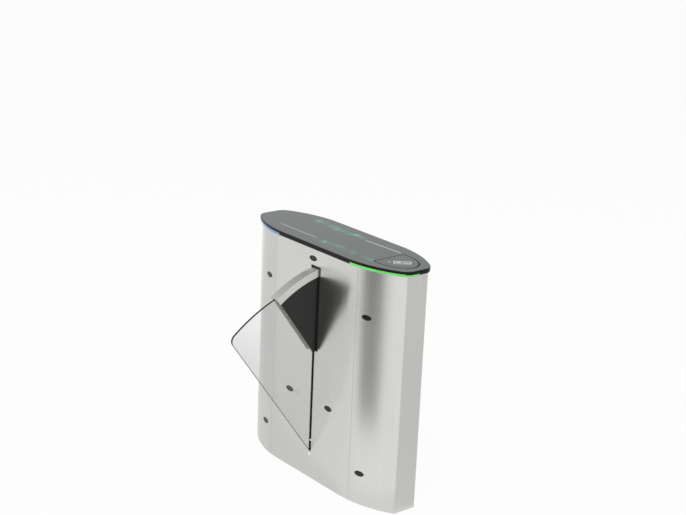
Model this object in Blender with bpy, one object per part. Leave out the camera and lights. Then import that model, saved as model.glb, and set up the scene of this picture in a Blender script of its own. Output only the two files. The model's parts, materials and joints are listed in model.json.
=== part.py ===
# Flap barrier cabinet. A wing of two leaves folds through a slot into a steel housing.
# Metres, +Z up. The origin is the middle of the base, X runs along the cabinet, and the lane is at -Y.
# The wing stands out at rest. It folds back in by turning its top towards +Y.

import math

import bmesh
import bpy

# Housing
OVERALL_HEIGHT = 1.000
BODY_LENGTH = 0.920
BODY_WIDTH = 0.260
FLAT_END_WIDTH = 0.104
CORNER_RADIUS = 0.008
INNER_CORNER_RADIUS = 0.001
STRAIGHT_LENGTH = 0.410
SEAM_SPACING = 0.522
SEAM_GAP = 0.001
SHEET = 0.002
FIT_GAP = 0.0003
OVERRUN = 0.004
BASE_THICKNESS = 0.008
ANCHOR_SPACING_X = 0.660
ANCHOR_SPACING_Y = 0.120
ANCHOR_RADIUS = 0.007
CABLE_HOLE_X = 0.180
CABLE_HOLE_LENGTH = 0.090
CABLE_HOLE_WIDTH = 0.060
CABLE_HOLE_CORNER = 0.010
POST_WIDTH = 0.040
POST_DEPTH = 0.022

# Lid, top frame and light strips
GLASS_THICKNESS = 0.0057
GLASS_CHAMFER = 0.001
LID_OVERHANG = 0.011
LID_CORNER_RADIUS = 0.055
TRAY_DEPTH = 0.008
TRAY_SHEET = 0.0025
TRAY_INSET = 0.0005
FRAME_DEPTH = 0.0157
FRAME_WIDTH = 0.0247
FRAME_LIP = 0.0054
STRIP_PROUD = 0.0092
STRIP_HEIGHT = 0.0097
STRIP_CHAMFER = 0.001
TRIM_HEIGHT = 0.0042
LIGHT_REACH = 0.225
READER_FROM_END = 0.095
READER_LENGTH = 0.080
READER_WIDTH = 0.070
READER_DEPTH = 0.014
BOARD_X = -0.070
BOARD_LENGTH = 0.260
BOARD_WIDTH = 0.180
BOARD_THICKNESS = 0.0016

# Sensor windows
SENSOR_LENGTH = 0.040
SENSOR_HEIGHT = 0.018
SENSOR_LIP = 0.003
SENSOR_PROUD = 0.001
SENSOR_BODY_DEPTH = 0.018
SENSOR_X = -0.011
SENSOR_TOP_DROP = 0.042
SENSOR_PAST_SEAM = 0.052
SENSOR_HIGH_DROP = 0.195
SENSOR_LOW_Z = 0.132
SENSOR_MID_SPREAD = 0.129
SENSOR_MID_Z = 0.342

# Wing: the clear leaf turns by FLAP_TRAVEL, the shroud by less through the gear train
FLAP_TRAVEL = math.radians(36)
WING_X = 0.009
PIVOT_INSET = 0.065
PIVOT_HEIGHT = 0.150
REACH_DROP = 0.121
LEAF_THICKNESS = 0.010
LEAF_CORNER = 0.028
LEAF_EDGE_PROUD = 0.0065
LEAF_HEEL = 0.020
LEAF_BACK_CLEAR = 0.0145
LEAF_TAIL_RISE = 0.150
LEAF_FOOT = 0.040
LEAF_FOOT_BACK = 0.060
LEAF_FOOT_FRONT = 0.048
CLAMP_THICKNESS = 0.004
CLAMP_HUB_RADIUS = 0.030
CLAMP_ARM_LENGTH = 0.130
CLAMP_ARM_WIDTH = 0.044
CLAMP_ARM_ANGLE = math.radians(135)
BOLT_RADIUS = 0.004
BOLT_HEAD_RADIUS = 0.0075
BOLT_HEAD_HEIGHT = 0.004
BOLT_FROM_TIP = 0.020
BOLT_SPACING = 0.055
SHROUD_SIDE_CLEAR = 0.0023
SHROUD_SHEET = 0.0025
SHROUD_OVERLAP = 0.006
SHROUD_TAIL_RADIUS = 0.420
SHROUD_ARM_CLEAR = 0.006
SHROUD_HUB_RADIUS = 0.028
SHROUD_BACK_CLEAR = 0.0074
RIM_RADIUS = 0.516
RIM_SHEET = 0.0025
RIM_FLANGE_SHEET = 0.002
RIM_FLANGE_DEPTH = 0.030
RIM_RUN_GAP = 0.0025
RIM_RISE = 0.0444

# Slot in the lane side panel, and the guide at its foot
SLOT_SIDE_CLEAR = 0.004
SLOT_TOP_CLEAR = 0.0076
SLOT_TAIL_CLEAR = 0.0059
NARROW_SIDE_CLEAR = 0.003
SLOT_FOOT = 0.054
GUIDE_WIDTH = 0.052
GUIDE_SHEET = 0.004
GUIDE_FOOT = 0.016
GUIDE_TOP = 0.040
GUIDE_RUN_CLEAR = 0.0004
GUIDE_RAIL_CLEAR = 0.0013
GUIDE_FLOOR_CLEAR = 0.002
GUIDE_PRONG_BELOW = 0.030
GUIDE_PAD_LOW = 0.013
GUIDE_PAD_HEIGHT = 0.008

# Shaft, gear train and drive
SHAFT_RADIUS = 0.0125
GEAR_MODULE = 0.002
PRESSURE_ANGLE = math.radians(20)
DEDENDUM_SHARE = 1.25
TOOTH_THINNING = 0.00012
SHAFT_GEAR_TEETH = 24
LAY_LARGE_TEETH = 36
LAY_SMALL_TEETH = 24
HUB_GEAR_TEETH = 36
SECTOR_TEETH = 48
SECTOR_CUT_TEETH = 8
SECTOR_TEETH_ABOVE = 1.5
SECTOR_HUB_RADIUS = 0.020
PINION_TEETH = 16
GEAR_FACE = 0.010
SECTOR_FACE = 0.012
HUB_BOSS = 0.0025
ROW_GAP = 0.0035
FAR_HUB_LENGTH = 0.012
FAR_HUB_RADIUS = 0.024
SECTOR_GAP = 0.006
NEAR_PLATE_SPACE = 0.021
FAR_PLATE_SPACE = 0.020
PLATE_SHEET = 0.006
PLATE_RISE = 0.080
PLATE_FRONT_CLEAR = 0.010
PLATE_BACK = 0.125
PLATE_CORNER = 0.020
PLATE_FOOT_LENGTH = 0.040
BEARING_PILOT_RADIUS = 0.018
BEARING_FLANGE_RADIUS = 0.027
BEARING_FLANGE = 0.007
BEARING_NOSE_RADIUS = 0.020
BEARING_NOSE = 0.006
SHAFT_END = 0.002
SHAFT_CHAMFER = 0.001
STUB_RADIUS = 0.007
STUB_HEAD_RADIUS = 0.013
STUB_HEAD = 0.004
SLEEVE_SHEET = 0.003
COLLAR_LENGTH = 0.003
COLLAR_RADIUS = 0.011
PINION_SHAFT_RADIUS = 0.006
PINION_SHAFT_LENGTH = 0.014
MOTOR_PILOT_RADIUS = 0.015
MOTOR_FLANGE_RADIUS = 0.033
MOTOR_FLANGE = 0.006
GEARBOX_RADIUS = 0.029
GEARBOX_LENGTH = 0.042
MOTOR_RADIUS = 0.025
MOTOR_LENGTH = 0.072
MOTOR_CAP_RADIUS = 0.018
MOTOR_CAP = 0.006
STOP_RADIUS = 0.006
STOP_REACH = 0.038

# Lid hinges and boxes on the base
HINGE_X = 0.150
HINGE_LENGTH = 0.060
HINGE_SHEET = 0.002
LID_LEAF_SHEET = 0.0012
HINGE_LEAF_HEIGHT = 0.033
HINGE_ARM_DROP = 0.0045
KNUCKLE_RADIUS = 0.004
KNUCKLE_SHARE = 1 / 3
KNUCKLE_CLEAR = 0.001
HINGE_AXIS_DROP = 0.002
HINGE_PIN_RADIUS = 0.002
HINGE_PIN_HEAD_RADIUS = 0.0032
HINGE_PIN_HEAD = 0.0015
CONTROL_FROM_END = 0.160
CONTROL_LENGTH = 0.140
CONTROL_WIDTH = 0.110
CONTROL_HEIGHT = 0.060
SUPPLY_FROM_END = 0.175
SUPPLY_LENGTH = 0.130
SUPPLY_WIDTH = 0.098
SUPPLY_HEIGHT = 0.042
BOX_CHAMFER = 0.003

# Faces of a round shape, and the angle from which an edge is sharp
ARC_STEPS = 10
CORNER_STEPS = 3
ROUND_STEPS = 24
PIN_STEPS = 16
OVAL_STEPS = 8
RIM_STEPS = 14
STATION_CLEAR_SHARE = 0.25
SHARP_ANGLE = math.radians(30)

# Places that follow from the sizes above
CORNER_INSET = (BODY_WIDTH - FLAT_END_WIDTH) / 2
CURVE_LENGTH = (BODY_LENGTH - STRAIGHT_LENGTH) / 2
CURVE_RADIUS = (CURVE_LENGTH**2 + CORNER_INSET**2) / (2 * CORNER_INSET)
CURVE_CENTRE_Y = BODY_WIDTH / 2 - CURVE_RADIUS
INNER_OFFSET = -SHEET - FIT_GAP
GLASS_BOTTOM = OVERALL_HEIGHT - GLASS_THICKNESS
TRAY_TOP = GLASS_BOTTOM - FIT_GAP
TRAY_BOTTOM = TRAY_TOP - TRAY_DEPTH
TRAY_CEILING = TRAY_TOP - TRAY_SHEET
TRAY_EDGE = LID_OVERHANG - TRAY_INSET
FRAME_TOP = TRAY_BOTTOM - FIT_GAP
FRAME_BOTTOM = FRAME_TOP - FRAME_DEPTH
SHELL_TOP = FRAME_TOP - FRAME_LIP - FIT_GAP
BASE_TOP = BASE_THICKNESS + FIT_GAP

PIVOT_Y = PIVOT_INSET - BODY_WIDTH / 2
LEAF_REACH = SHELL_TOP - PIVOT_HEIGHT - REACH_DROP
LEAF_FRONT = PIVOT_INSET + LEAF_EDGE_PROUD
DEPTH_BEHIND = BODY_WIDTH - SHEET - PIVOT_INSET
LEAF_BACK = DEPTH_BEHIND - LEAF_BACK_CLEAR
SHROUD_RATIO = (SHAFT_GEAR_TEETH * LAY_SMALL_TEETH) / (LAY_LARGE_TEETH * HUB_GEAR_TEETH)
SHROUD_TRAVEL = FLAP_TRAVEL * SHROUD_RATIO
CLAMP_FACE = LEAF_THICKNESS / 2 + FIT_GAP
CLAMP_OUTER = CLAMP_FACE + CLAMP_THICKNESS
BOLT_END = CLAMP_OUTER + FIT_GAP + BOLT_HEAD_HEIGHT
SHROUD_INNER = BOLT_END + SHROUD_SIDE_CLEAR
SHROUD_OUTER = SHROUD_INNER + SHROUD_SHEET
RIM_INNER = SHROUD_OUTER + FIT_GAP
RIM_OUTER = RIM_INNER + RIM_FLANGE_SHEET
WIDE_HALF = RIM_OUTER + SLOT_SIDE_CLEAR
NARROW_HALF = LEAF_THICKNESS / 2 + NARROW_SIDE_CLEAR

LAY_DISTANCE = GEAR_MODULE * (SHAFT_GEAR_TEETH + LAY_LARGE_TEETH) / 2
PINION_DISTANCE = GEAR_MODULE * (SECTOR_TEETH + PINION_TEETH) / 2
SHROUD_ROW = WING_X + SHROUD_OUTER + FIT_GAP + HUB_BOSS
SHAFT_ROW = SHROUD_ROW + GEAR_FACE + ROW_GAP
NEAR_PLATE = SHAFT_ROW + GEAR_FACE + NEAR_PLATE_SPACE
FAR_HUB = WING_X - SHROUD_OUTER - FIT_GAP
SECTOR_X = FAR_HUB - FAR_HUB_LENGTH - SECTOR_GAP - SECTOR_FACE
FAR_PLATE = SECTOR_X - FAR_PLATE_SPACE - PLATE_SHEET
BORE_RADIUS = SHAFT_RADIUS + FIT_GAP
HINGE_AXIS_Y = BODY_WIDTH / 2 + TRAY_EDGE + FIT_GAP + LID_LEAF_SHEET + KNUCKLE_RADIUS
HINGE_AXIS_Z = TRAY_BOTTOM - HINGE_AXIS_DROP

# Colour, roughness and metallic value of each finish
BRUSHED_STEEL = ((0.60, 0.59, 0.57), 0.34, 1.0)
ZINC_STEEL = ((0.48, 0.49, 0.50), 0.45, 1.0)
BRIGHT_STEEL = ((0.66, 0.66, 0.67), 0.22, 1.0)
BLACK_COAT = ((0.022, 0.023, 0.024), 0.5, 0.0)
BLACK_PLASTIC = ((0.014, 0.014, 0.014), 0.4, 0.0)
DARK_GLASS = ((0.21, 0.225, 0.215), 0.12, 0.0)
WHITE_NYLON = ((0.80, 0.80, 0.78), 0.5, 0.0)
CLEAR_SHEET = ((0.86, 0.89, 0.90), 0.08, 0.0)
RIM_ALUMINIUM = ((0.52, 0.53, 0.51), 0.38, 1.0)
GREEN_DIFFUSER = ((0.10, 0.72, 0.12), 0.35, 0.0)
BLUE_DIFFUSER = ((0.05, 0.18, 0.60), 0.35, 0.0)
SENSOR_SMOKE = ((0.03, 0.03, 0.03), 0.2, 0.0)
STOP_RUBBER = ((0.02, 0.02, 0.02), 0.8, 0.0)
BOARD_GREEN = ((0.02, 0.12, 0.05), 0.5, 0.0)
BRONZE = ((0.45, 0.28, 0.12), 0.4, 1.0)
MOTOR_GREY = ((0.16, 0.17, 0.18), 0.5, 0.6)


# Making objects


def clear_scene():
    for obj in list(bpy.data.objects):
        bpy.data.objects.remove(obj)


def material_of(name, finish):
    colour, roughness, metallic = finish
    material = bpy.data.materials.new(name)
    material.use_nodes = True
    shader = material.node_tree.nodes["Principled BSDF"]
    shader.inputs["Base Color"].default_value = (*colour, 1)
    shader.inputs["Roughness"].default_value = roughness
    shader.inputs["Metallic"].default_value = metallic
    return material


def make(name, bm, finish, location=(0, 0, 0), parent=None, turn=0.0):
    bmesh.ops.recalc_face_normals(bm, faces=bm.faces)
    mesh = bpy.data.meshes.new(name)
    bm.to_mesh(mesh)
    bm.free()
    mesh.shade_smooth()
    mesh.set_sharp_from_angle(angle=SHARP_ANGLE)
    obj = bpy.data.objects.new(name, mesh)
    obj.location = location
    obj.rotation_euler.z = turn
    obj.parent = parent
    if finish:
        mesh.materials.append(material_of(name, finish))
    bpy.context.scene.collection.objects.link(obj)
    return obj


def make_axis(name, location):
    axis = bpy.data.objects.new(name, None)
    axis.location = location
    bpy.context.scene.collection.objects.link(axis)
    return axis


def combine(obj, bm, operation, location=(0, 0, 0), turn=0.0):
    """Adds a Boolean whose helper is hidden from the render."""
    count = len(obj.modifiers)
    helper = make(f"{obj.name}_helper_{count}", bm, None, location, obj.parent, turn)
    helper.hide_render = True
    helper.display_type = "WIRE"
    modifier = obj.modifiers.new(f"{operation.lower()}_{count}", "BOOLEAN")
    modifier.operation = operation
    modifier.solver = "EXACT"
    modifier.object = helper


# Shapes


def loft(rings, closed=False):
    """Joins rings of as many points each, in order. The first and last are capped unless closed."""
    bm = bmesh.new()
    loops = [[bm.verts.new(point) for point in ring] for ring in rings]
    pairs = list(zip(loops, loops[1:]))
    if closed:
        pairs.append((loops[-1], loops[0]))
    else:
        bm.faces.new(loops[0])
        bm.faces.new(loops[-1])
    for first, second in pairs:
        for i in range(len(first)):
            bm.faces.new((first[i - 1], first[i], second[i], second[i - 1]))
    return bm


def from_side(a, b, c):
    """Drawn as seen along the cabinet: a outward to the lane, b up, c along X."""
    return (c, -a, b)


def from_front(a, b, c):
    """Drawn as seen from the lane: a along X, b up, c outward to the lane."""
    return (a, -c, b)


def from_above(a, b, c):
    return (a, b, c)


def prism(view, low, high, outline, holes=()):
    """A plate between low and high with this outline and these holes."""
    bm = bmesh.new()
    loops = [outline, *holes]
    bottom = [[bm.verts.new(view(a, b, low)) for a, b in loop] for loop in loops]
    top = [[bm.verts.new(view(a, b, high)) for a, b in loop] for loop in loops]
    above = {v: w for lows, highs in zip(bottom, top) for v, w in zip(lows, highs)}
    edges = [bm.edges.new((loop[i - 1], loop[i])) for loop in bottom for i in range(len(loop))]
    if holes:
        bmesh.ops.triangle_fill(bm, use_beauty=True, edges=edges)
    else:
        bm.faces.new(bottom[0])
    for face in list(bm.faces):
        bm.faces.new([above[vert] for vert in reversed(face.verts)])
    for lows, highs in zip(bottom, top):
        for i in range(len(lows)):
            bm.faces.new((lows[i - 1], lows[i], highs[i], highs[i - 1]))
    return bm


def arc(centre, radius, start, end, steps):
    """Points from start to end, angles in radians, both ends kept."""
    angles = [start + (end - start) * i / steps for i in range(steps + 1)]
    return [(centre[0] + radius * math.cos(t), centre[1] + radius * math.sin(t)) for t in angles]


def circle(centre, radius, steps=ROUND_STEPS):
    return arc(centre, radius, 0, math.tau, steps)[:-1]


def rounded_box(centre, length, width, corner, steps):
    points = []
    for k, (side_a, side_b) in enumerate(((1, 1), (-1, 1), (-1, -1), (1, -1))):
        middle = (
            centre[0] + side_a * (length / 2 - corner),
            centre[1] + side_b * (width / 2 - corner),
        )
        points += arc(middle, corner, k * math.pi / 2, (k + 1) * math.pi / 2, steps)
    return points


def turned(profile, steps=ROUND_STEPS, ring=False):
    """Turns (x, radius) points about X. A ring profile is closed and has a bore."""
    if ring:
        angles = [math.tau * i / steps for i in range(steps)]
        rings = [
            [(x, r * math.cos(t), r * math.sin(t)) for x, r in profile] for t in angles
        ]
        return loft(rings, closed=True)
    return loft([[(x, a, b) for a, b in circle((0, 0), r, steps)] for x, r in profile])


# The cabinet's outline from above. A station turns an offset from the steel's face into a place.


def side_station(end, side, x):
    """On the long side, x from the middle: straight at first, then on the curve."""
    if x <= STRAIGHT_LENGTH / 2:
        return lambda offset: (end * x, side * (BODY_WIDTH / 2 + offset))
    angle = curve_angle(x)
    return lambda offset: (
        end * (STRAIGHT_LENGTH / 2 + (CURVE_RADIUS + offset) * math.sin(angle)),
        side * (CURVE_CENTRE_Y + (CURVE_RADIUS + offset) * math.cos(angle)),
    )


def corner_radius(offset):
    """Parallel corners in the steel, and rounder ones out to the lid's edge."""
    beyond = max(0, offset - FIT_GAP) / (LID_OVERHANG - FIT_GAP)
    softer = beyond * (LID_CORNER_RADIUS - CORNER_RADIUS - LID_OVERHANG)
    return max(INNER_CORNER_RADIUS, CORNER_RADIUS + offset + softer)


def corner_place(offset, share):
    """A place on the corner's arc, share 0 at the end of the curve and 1 at the flat end."""
    radius = corner_radius(offset)
    x = BODY_LENGTH / 2 + offset - radius
    across = CURVE_RADIUS + offset - radius
    lean = math.asin((x - STRAIGHT_LENGTH / 2) / across)
    angle = lean + (math.pi / 2 - lean) * share
    y = CURVE_CENTRE_Y + across * math.cos(lean)
    return x + radius * math.sin(angle), y + radius * math.cos(angle)


def corner_station(end, side, share):
    def place(offset):
        x, y = corner_place(offset, share)
        return (end * x, side * y)

    return place


def corner_run(end, side):
    """Stations round the corner between the curve and the flat end."""
    shares = [i / CORNER_STEPS for i in range(CORNER_STEPS + 1)]
    return [corner_station(end, side, share) for share in shares]


def end_station(end, y):
    return lambda offset: (end * (BODY_LENGTH / 2 + offset), y)


def curve_angle(x):
    return math.asin(max(0, x - STRAIGHT_LENGTH / 2) / CURVE_RADIUS)


def side_run(end, side, start, stop):
    """Stations from x = start to x = stop. Those between lie at even steps of the curve."""
    step = CURVE_LENGTH / ARC_STEPS
    clear = step * STATION_CLEAR_SHARE
    places = [STRAIGHT_LENGTH / 2 + i * step for i in range(ARC_STEPS)]
    inner = [x for x in places if start + clear < x < stop - clear]
    return [side_station(end, side, x) for x in [start, *inner, stop]]


def end_run(end, start):
    """From x = start on the rear side round one end to x = start on the lane side."""
    half = side_run(end, 1, start, BODY_LENGTH / 2)[:-1] + corner_run(end, 1)
    other = side_run(end, -1, start, BODY_LENGTH / 2)[:-1] + corner_run(end, -1)
    return half + other[::-1]


def full_run():
    return end_run(1, STRAIGHT_LENGTH / 2) + end_run(-1, STRAIGHT_LENGTH / 2)[::-1]


def sweep(section, run, closed=False):
    """Carries a section of (offset, z) points along a run."""
    return loft([[(*station(offset), z) for offset, z in section] for station in run], closed)


def stacked(levels):
    """The full outline at each (offset, z), capped at both ends."""
    run = full_run()
    return loft([[(*station(offset), z) for station in run] for offset, z in levels])


def plate_section(inner, outer, low, high):
    return [(inner, low), (outer, low), (outer, high), (inner, high)]


def surface_place(x, z):
    """A place on the lane face, and its outward direction as a turn about Z."""
    end = 1 if x > 0 else -1
    y = side_station(end, -1, abs(x))(0)[1]
    return (x, y, z), end * curve_angle(abs(x))


# Housing


def slot_outline():
    """The keyhole that the wing passes, wide above and narrow below, as (x, z)."""
    low = PIVOT_HEIGHT - SLOT_FOOT + NARROW_HALF
    foot = arc((WING_X, low), NARROW_HALF, math.pi, math.tau, OVAL_STEPS)
    step, top = wide_slot_bottom(), wide_slot_top()
    right = [
        (WING_X + NARROW_HALF, step),
        (WING_X + WIDE_HALF, step),
        (WING_X + WIDE_HALF, top),
    ]
    left = [(2 * WING_X - x, z) for x, z in reversed(right)]
    return foot + right + left


def wide_slot_bottom():
    tail = math.sqrt(SHROUD_TAIL_RADIUS**2 - PIVOT_INSET**2)
    return PIVOT_HEIGHT + tail - SLOT_TAIL_CLEAR


def wide_slot_top():
    return PIVOT_HEIGHT + LEAF_REACH + RIM_RISE + SLOT_TOP_CLEAR


def oval(half_length, half_height):
    """A lying oval with round ends, as (a, b)."""
    straight = half_length - half_height
    right = arc((straight, 0), half_height, -math.pi / 2, math.pi / 2, OVAL_STEPS)
    left = arc((-straight, 0), half_height, math.pi / 2, 3 * math.pi / 2, OVAL_STEPS)
    return right + left


def sensor_places():
    """Name and (x, z) of each sensor window on the lane side."""
    outer = SEAM_SPACING / 2 + SENSOR_PAST_SEAM
    high = SHELL_TOP - SENSOR_HIGH_DROP
    return {
        "sensor_window_top": (SENSOR_X, SHELL_TOP - SENSOR_TOP_DROP),
        "sensor_window_near_high": (outer, high),
        "sensor_window_near_low": (outer, SENSOR_LOW_Z),
        "sensor_window_far_high": (-outer, high),
        "sensor_window_far_low": (-outer, SENSOR_LOW_Z),
        "sensor_window_near_middle": (SENSOR_X + SENSOR_MID_SPREAD, SENSOR_MID_Z),
        "sensor_window_far_middle": (SENSOR_X - SENSOR_MID_SPREAD, SENSOR_MID_Z),
    }


def cut_sensor_holes(panel, low_x, high_x):
    half_length = SENSOR_LENGTH / 2 - SENSOR_LIP + FIT_GAP
    half_height = SENSOR_HEIGHT / 2 - SENSOR_LIP + FIT_GAP
    for x, z in sensor_places().values():
        if low_x < x < high_x:
            place, turn = surface_place(x, z)
            outline = oval(half_length, half_height)
            cutter = prism(from_front, -SHEET - OVERRUN, OVERRUN, outline)
            combine(panel, cutter, "DIFFERENCE", place, turn)


def make_sensor_windows():
    rings = (
        (0, FIT_GAP + SENSOR_PROUD),
        (0, FIT_GAP),
        (SENSOR_LIP, FIT_GAP),
        (SENSOR_LIP, -SENSOR_BODY_DEPTH),
    )
    for name, (x, z) in sensor_places().items():
        place, turn = surface_place(x, z)
        points = []
        for inset, out in rings:
            outline = oval(SENSOR_LENGTH / 2 - inset, SENSOR_HEIGHT / 2 - inset)
            points.append([from_front(a, b, out) for a, b in outline])
        make(name, loft(points), SENSOR_SMOKE, place, turn=turn)


def make_side_panels():
    seam = (SEAM_SPACING - SEAM_GAP) / 2
    section = plate_section(-SHEET, 0, 0, SHELL_TOP)
    for name, side in (("lane_side_panel", -1), ("rear_side_panel", 1)):
        run = side_run(-1, side, 0, seam)[::-1] + side_run(1, side, 0, seam)[1:]
        panel = make(name, sweep(section, run), BRUSHED_STEEL)
        if side < 0:
            depth = BODY_WIDTH / 2
            slot = prism(from_front, depth - SHEET - OVERRUN, depth + OVERRUN, slot_outline())
            combine(panel, slot, "DIFFERENCE")
            cut_sensor_holes(panel, -seam, seam)


def make_end_shells():
    seam = (SEAM_SPACING + SEAM_GAP) / 2
    section = plate_section(-SHEET, 0, 0, SHELL_TOP)
    for name, end in (("near_end_shell", 1), ("far_end_shell", -1)):
        shell = make(name, sweep(section, end_run(end, seam)), BRUSHED_STEEL)
        ends = sorted((end * seam, end * BODY_LENGTH / 2))
        cut_sensor_holes(shell, *ends)


def make_posts():
    """A channel behind each seam, its web on the sheet and its flanges inwards."""
    web, flange = INNER_OFFSET - SHEET, INNER_OFFSET - POST_DEPTH
    seam = SEAM_SPACING / 2
    outer = (seam - POST_WIDTH / 2, seam + POST_WIDTH / 2)
    inner = (outer[0] + SHEET, outer[1] - SHEET)
    corners = (
        *((x, INNER_OFFSET) for x in (outer[0], seam, outer[1])),
        (outer[1], flange),
        (inner[1], flange),
        *((x, web) for x in (inner[1], seam, inner[0])),
        (inner[0], flange),
        (outer[0], flange),
    )
    names = {(1, -1): "near_lane_post", (-1, -1): "far_lane_post"}
    names |= {(1, 1): "near_rear_post", (-1, 1): "far_rear_post"}
    for (end, side), name in names.items():
        outline = [side_station(end, side, x)(offset) for x, offset in corners]
        post = prism(from_above, BASE_TOP, FRAME_BOTTOM - FIT_GAP, outline)
        make(name, post, ZINC_STEEL)


def make_base_plate():
    outline = [station(INNER_OFFSET) for station in full_run()]
    spread = [(x, y) for x in (-1, 1) for y in (-1, 1)]
    places = [(x * ANCHOR_SPACING_X / 2, y * ANCHOR_SPACING_Y / 2) for x, y in spread]
    holes = [circle(place, ANCHOR_RADIUS, PIN_STEPS) for place in places]
    cable_hole = ((CABLE_HOLE_X, 0), CABLE_HOLE_LENGTH, CABLE_HOLE_WIDTH, CABLE_HOLE_CORNER)
    holes.append(rounded_box(*cable_hole, OVAL_STEPS // 2))
    make("base_plate", prism(from_above, 0, BASE_THICKNESS, outline, holes), ZINC_STEEL)


def make_top_frame():
    inner = INNER_OFFSET - FRAME_WIDTH
    lip = SHELL_TOP + FIT_GAP
    section = [
        (inner, FRAME_BOTTOM),
        (INNER_OFFSET, FRAME_BOTTOM),
        (INNER_OFFSET, lip),
        (0, lip),
        (0, FRAME_TOP),
        (inner, FRAME_TOP),
    ]
    make("top_frame", sweep(section, full_run(), closed=True), BLACK_COAT)


def make_edge_strips():
    """Light strips round half of each end, and dark trim between them."""
    inner, outer = FIT_GAP, FIT_GAP + STRIP_PROUD
    low = FRAME_TOP - STRIP_HEIGHT
    section = [
        (inner, low),
        (outer - STRIP_CHAMFER, low),
        (outer, low + STRIP_CHAMFER),
        (outer, FRAME_TOP),
        (inner, FRAME_TOP),
    ]
    for name, end, finish in (
        ("near_light_strip", 1, GREEN_DIFFUSER),
        ("far_light_strip", -1, BLUE_DIFFUSER),
    ):
        run = side_run(end, -1, LIGHT_REACH, BODY_LENGTH / 2)[:-1]
        run += [*corner_run(end, -1), end_station(end, -FIT_GAP / 2)]
        make(name, sweep(section, run), finish)
    trim = plate_section(inner, outer, FRAME_TOP - TRIM_HEIGHT, FRAME_TOP)
    reach = LIGHT_REACH - FIT_GAP
    lane = side_run(-1, -1, 0, reach)[::-1] + side_run(1, -1, 0, reach)[1:]
    make("lane_trim_band", sweep(trim, lane), BLACK_PLASTIC)
    ends = []
    for end in (1, -1):
        run = side_run(end, 1, 0, BODY_LENGTH / 2)[:-1]
        ends.append([*run, *corner_run(end, 1), end_station(end, FIT_GAP / 2)])
    make("rear_trim_band", sweep(trim, ends[0][::-1] + ends[1][1:]), BLACK_PLASTIC)


# Wing. Outlines are drawn from the pivot: a outward to the lane, b up.


def turn(points, angle):
    """Turns points about the pivot, from outward towards up."""
    c, s = math.cos(angle), math.sin(angle)
    return [(a * c - b * s, a * s + b * c) for a, b in points]


def polar(radius, angle):
    return (radius * math.cos(angle), radius * math.sin(angle))


def leaf_outline():
    """Drawn folded in, then swung out: a long strip whose top runs round the pivot."""
    corner_a = LEAF_FRONT - LEAF_CORNER
    corner_b = math.sqrt((LEAF_REACH - LEAF_CORNER) ** 2 - corner_a**2)
    lean = math.atan2(corner_b, corner_a)
    back = math.acos(-LEAF_BACK / LEAF_REACH)
    points = arc((corner_a, corner_b), LEAF_CORNER, 0, lean, OVAL_STEPS)
    points += arc((0, 0), LEAF_REACH, lean, back, RIM_STEPS)[1:]
    points += [
        (-LEAF_BACK, LEAF_TAIL_RISE),
        (-LEAF_FOOT_BACK, -LEAF_FOOT),
        (LEAF_FOOT_FRONT, -LEAF_FOOT),
        (LEAF_FRONT, -LEAF_HEEL),
    ]
    return turn(points, -FLAP_TRAVEL)


def bolt_places():
    last = CLAMP_ARM_LENGTH - BOLT_FROM_TIP
    reaches = (last - BOLT_SPACING, last)
    return [polar(reach, CLAMP_ARM_ANGLE - FLAP_TRAVEL) for reach in reaches]


def clamp_outline():
    """A tongue with a round hub and a narrower round end, drawn upright, then turned to its arm."""
    half = CLAMP_ARM_WIDTH / 2
    points = arc((0, 0), CLAMP_HUB_RADIUS, math.pi, math.tau, PIN_STEPS)
    points += arc((0, CLAMP_ARM_LENGTH - half), half, 0, math.pi, PIN_STEPS)
    return turn(points, CLAMP_ARM_ANGLE - math.pi / 2 - FLAP_TRAVEL)


def make_leaf(axis):
    shaft_hole = circle((0, 0), BORE_RADIUS)
    bolt_holes = [circle(place, BOLT_RADIUS + FIT_GAP, PIN_STEPS) for place in bolt_places()]
    half = LEAF_THICKNESS / 2
    leaf = prism(from_side, WING_X - half, WING_X + half, leaf_outline(), [shaft_hole, *bolt_holes])
    make("clear_leaf", leaf, CLEAR_SHEET, parent=axis)
    for name, low in (
        ("leaf_clamp_near", WING_X + CLAMP_FACE),
        ("leaf_clamp_far", WING_X - CLAMP_OUTER),
    ):
        holes = [shaft_hole, *bolt_holes]
        clamp = prism(from_side, low, low + CLAMP_THICKNESS, clamp_outline(), holes)
        make(name, clamp, ZINC_STEEL, parent=axis)


def make_leaf_bolts(axis):
    under = CLAMP_OUTER + FIT_GAP
    profile = [
        (-BOLT_END, BOLT_HEAD_RADIUS),
        (-under, BOLT_HEAD_RADIUS),
        (-under, BOLT_RADIUS),
        (under, BOLT_RADIUS),
        (under, BOLT_HEAD_RADIUS),
        (BOLT_END, BOLT_HEAD_RADIUS),
    ]
    for name, (a, b) in zip(("leaf_bolt_lower", "leaf_bolt_upper"), bolt_places()):
        place = from_side(a, b, WING_X)
        make(name, turned(profile, PIN_STEPS), BRIGHT_STEEL, place, axis)


def rim_centre():
    """The rim runs through its tip over the leaf and its crown at the lane face."""
    lead = -(LEAF_BACK - SHROUD_OVERLAP)
    reach = LEAF_REACH + RIM_RUN_GAP + RIM_SHEET
    tip = turn([(lead, math.sqrt(reach**2 - lead**2))], -FLAP_TRAVEL)[0]
    crown = (PIVOT_INSET, LEAF_REACH + RIM_RISE)
    across, up = tip[0] - crown[0], tip[1] - crown[1]
    chord = math.hypot(across, up)
    depth = math.sqrt(RIM_RADIUS**2 - chord**2 / 4)
    middle = ((tip[0] + crown[0]) / 2, (tip[1] + crown[1]) / 2)
    return (middle[0] + up * depth / chord, middle[1] - across * depth / chord), tip


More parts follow.
